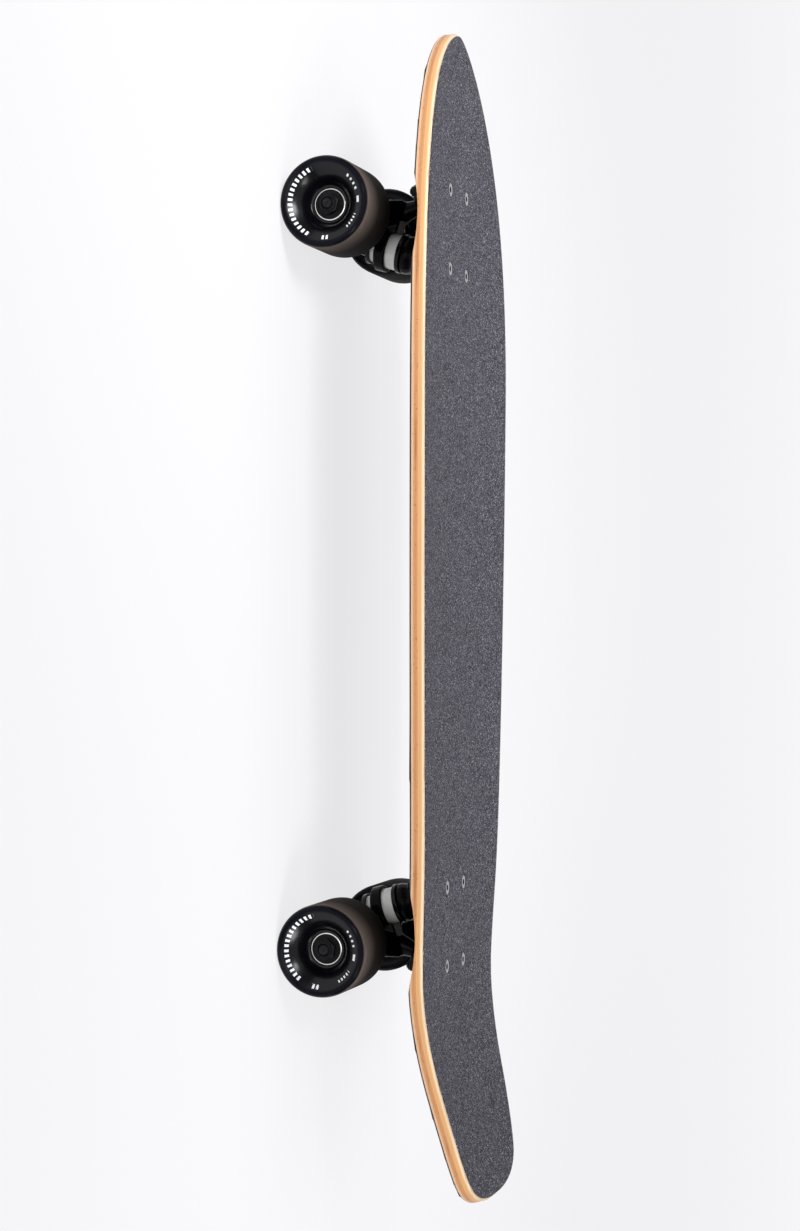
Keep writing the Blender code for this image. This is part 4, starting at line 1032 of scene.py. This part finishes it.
# %% Axles
for truck in trucks:
    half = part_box(f"{truck}_axle")[1].y
    inner = half - 0.012
    ridges = threaded(0.0039, inner, half - 0.0006, 0.001, 0.0004)
    profile = [(0, half - 0.0012), (0.0009, half), (0.0031, half)] + ridges[::-1] + [(0.0039, inner - 0.0004)]
    profile += [(radius, -height) for radius, height in reversed(profile)]
    place = Matrix.Translation(trucks[truck]["centre"]) @ Matrix.Rotation(-math.pi / 2, 4, "X")
    piece(f"{truck}_threaded_axle", spun(profile, 48, closed=False), f"{truck}_hanger",
          [axle_steel], place, [f"{truck}_axle"])
print("axle ends at", round(half, 4))

# %% [markdown]
# ## Bushings and washers
# The bushings are soft, pale urethane with eased edges, a little see-through at the rim, so they get some
# subsurface light. A washer holds each. When the truck steers, the face that lies against the hanger tilts
# with it and the other face stays with its washer. Here each bushing is one fixed shape, baked in place.

# %% Bushing material
tones = (0.86, 0.88, 0.82), (0.92, 0.93, 0.89)
pale_urethane, _, shader, _ = two_toned("pale_urethane", 90.0, *tones, 0.15, 0.34)
shader.inputs["Subsurface Weight"].default_value = 0.25
shader.inputs["Subsurface Radius"].default_value = (0.004, 0.004, 0.003)
shader.inputs["Subsurface Scale"].default_value = 0.5
print("bushing material ready")

# %% Kingpin stack
KINGPIN_RADIUS, KINGPIN_FLATS = 0.00476, 0.0143
BORE = KINGPIN_RADIUS + 0.0003


def cupped(face, inner, side):
    """Section of a washer whose lip runs a little way over its bushing. side is 1 for the upper one."""
    lip, back, outer = face - side * 0.0014, face + side * 0.0017, inner + 0.001
    section = [(BORE, face), (inner, face), (inner, lip), (outer, lip), (outer, back), (BORE, back)]
    return rounded(section, 0.0006, 3)


def barrel(low, high, low_radius, high_radius):
    """Section of a bushing with soft edges."""
    return rounded([(BORE, low), (low_radius, low), (high_radius, high), (BORE, high)], 0.0010, 4)


BUSHINGS = (  # name, the hanger's end, the washer's end, the low and the high radius, node
    ("upper_bushing", 0.0026, 0.0123, (0.0124, 0.0124), "boardside_bushing"),
    ("lower_bushing", -0.0026, -0.0093, (0.0102, 0.0106), "roadside_bushing"),
)
WASHERS = (
    ("upper_cup", cupped(0.0126, 0.0127, 1), "boardside_washer"),
    ("lower_cup", cupped(-0.0096, 0.0109, -1), "roadside_washer"),
)
for truck in trucks:
    stack = trucks[truck]["frame"] @ KINGPIN_FRAME
    for name, ring_end, washer_end, radii, stands_for in BUSHINGS:
        profile = barrel(*sorted((ring_end, washer_end)), *radii)
        made = piece(f"{truck}_{name}", spun(profile, 96), None, [pale_urethane], stack,
                     [f"{truck}_{stands_for}"])
        start, end = stack @ Vector((0, 0, washer_end)), stack @ Vector((0, 0, ring_end))
        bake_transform(made)
    for name, profile, stands_for in WASHERS:
        piece(f"{truck}_{name}", spun(profile, 96), "board", [washer_steel], stack,
              [f"{truck}_{stands_for}"])
    shank = [(0, -0.0207), (0.0038, -0.0207)] + threaded(KINGPIN_RADIUS, -0.0203, -0.0105, 0.00106, 0.0005)
    shank += [(KINGPIN_RADIUS, -0.0102), (KINGPIN_RADIUS, 0.0297), (0, 0.0297)]
    shape = combined(hexagon_bar(KINGPIN_FLATS, 0.0296, 0.0356), (spun(shank, 48, closed=False), "UNION"))
    piece(f"{truck}_threaded_kingpin", shape, "board", [dark_steel], stack, [f"{truck}_kingpin"])
print("stacks:", len(trucks))

# %% [markdown]
# ## Castings
# Hanger and baseplate are cast and powder coated. The solids have the right forms but crisp seams. A cast part
# has none: every seam is a small fillet. A copy of the solid goes through a fine voxel remesh and a short
# smoothing, which rounds the seams evenly, and the coat gets its orange-peel from a noise bump.

# %% Powder coat
tones = (0.0016, 0.0016, 0.0018), (0.0034, 0.0034, 0.0038)
powder, tree, shader, soft = two_toned("powder_coat", 330.0, *tones, 0.12, 0.17)
peel = node(tree, "ShaderNodeBump", {"Strength": 0.12, "Distance": 0.0002, "Height": soft})
tree.links.new(peel.outputs[0], shader.inputs["Normal"])
shader.inputs["Specular IOR Level"].default_value = 0.07
print("powder coat ready")

# %% Castings from the solids
VOXEL = 0.0006
SMOOTHINGS = 8


def cast_copy(node_name):
    """A softened copy of a solid, as a bmesh."""
    source = bmesh.new()
    source.from_mesh(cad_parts[node_name].data)
    bmesh.ops.remove_doubles(source, verts=source.verts, dist=1e-6)
    work = scratch(source)
    remesh = work.modifiers.new("remesh", "REMESH")
    remesh.mode, remesh.voxel_size = "VOXEL", VOXEL
    ease = work.modifiers.new("ease", "SMOOTH")
    ease.factor, ease.iterations = 0.5, SMOOTHINGS
    return applied(work)


for truck in trucks:
    for part, body in (("hanger", f"{truck}_hanger"), ("baseplate", "board")):
        shape = cast_copy(f"{truck}_{part}")
        made = piece(f"{truck}_cast_{part}", shape, body, [powder], None, [f"{truck}_{part}"])
        made.data.shade_smooth()
        print(made.name, "faces:", len(made.data.polygons))

# %% [markdown]
# ## Rubber and the solids that stay
# The pivot cup is a thimble of black rubber. The hanger's nose turns in it like a finger in a cap. The riser
# pads keep their solids, and so do the spacers inside the wheels. They only need their materials.

# %% Rubber
CUP_HOLLOW, CUP_RADIUS = 0.0059, 0.0077
tones = (0.010, 0.010, 0.010), (0.020, 0.019, 0.019)
rubber = two_toned("moulded_rubber", 200.0, *tones, 0.2, 0.6)[0]
turns = [i * math.pi / 24 for i in range(1, 13)]
cup = [(0, CUP_HOLLOW)] + [(CUP_HOLLOW * math.sin(turn), CUP_HOLLOW * math.cos(turn)) for turn in turns]
cup += [(CUP_HOLLOW, -0.0042), (CUP_RADIUS, -0.0042), (CUP_RADIUS, 0.0052), (0.0070, 0.0066), (0.0058, 0.0071)]
cup.append((0, 0.0071))
kept = {"riser_pad": rubber, "left_spacer": bright_steel, "right_spacer": bright_steel}
for truck in trucks:
    place = trucks[truck]["frame"] @ NOSE_FRAME
    piece(f"{truck}_thimble", spun(cup, 64, closed=False), "board", [rubber], place,
          [f"{truck}_pivot_cup"])
    for part, material in kept.items():
        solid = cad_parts[f"{truck}_{part}"]
        solid.data.materials.clear()
        solid.data.materials.append(material)
print("cup wall, mm:", round(1000 * (CUP_RADIUS - CUP_HOLLOW), 2), "solids kept:", len(kept) * len(trucks))
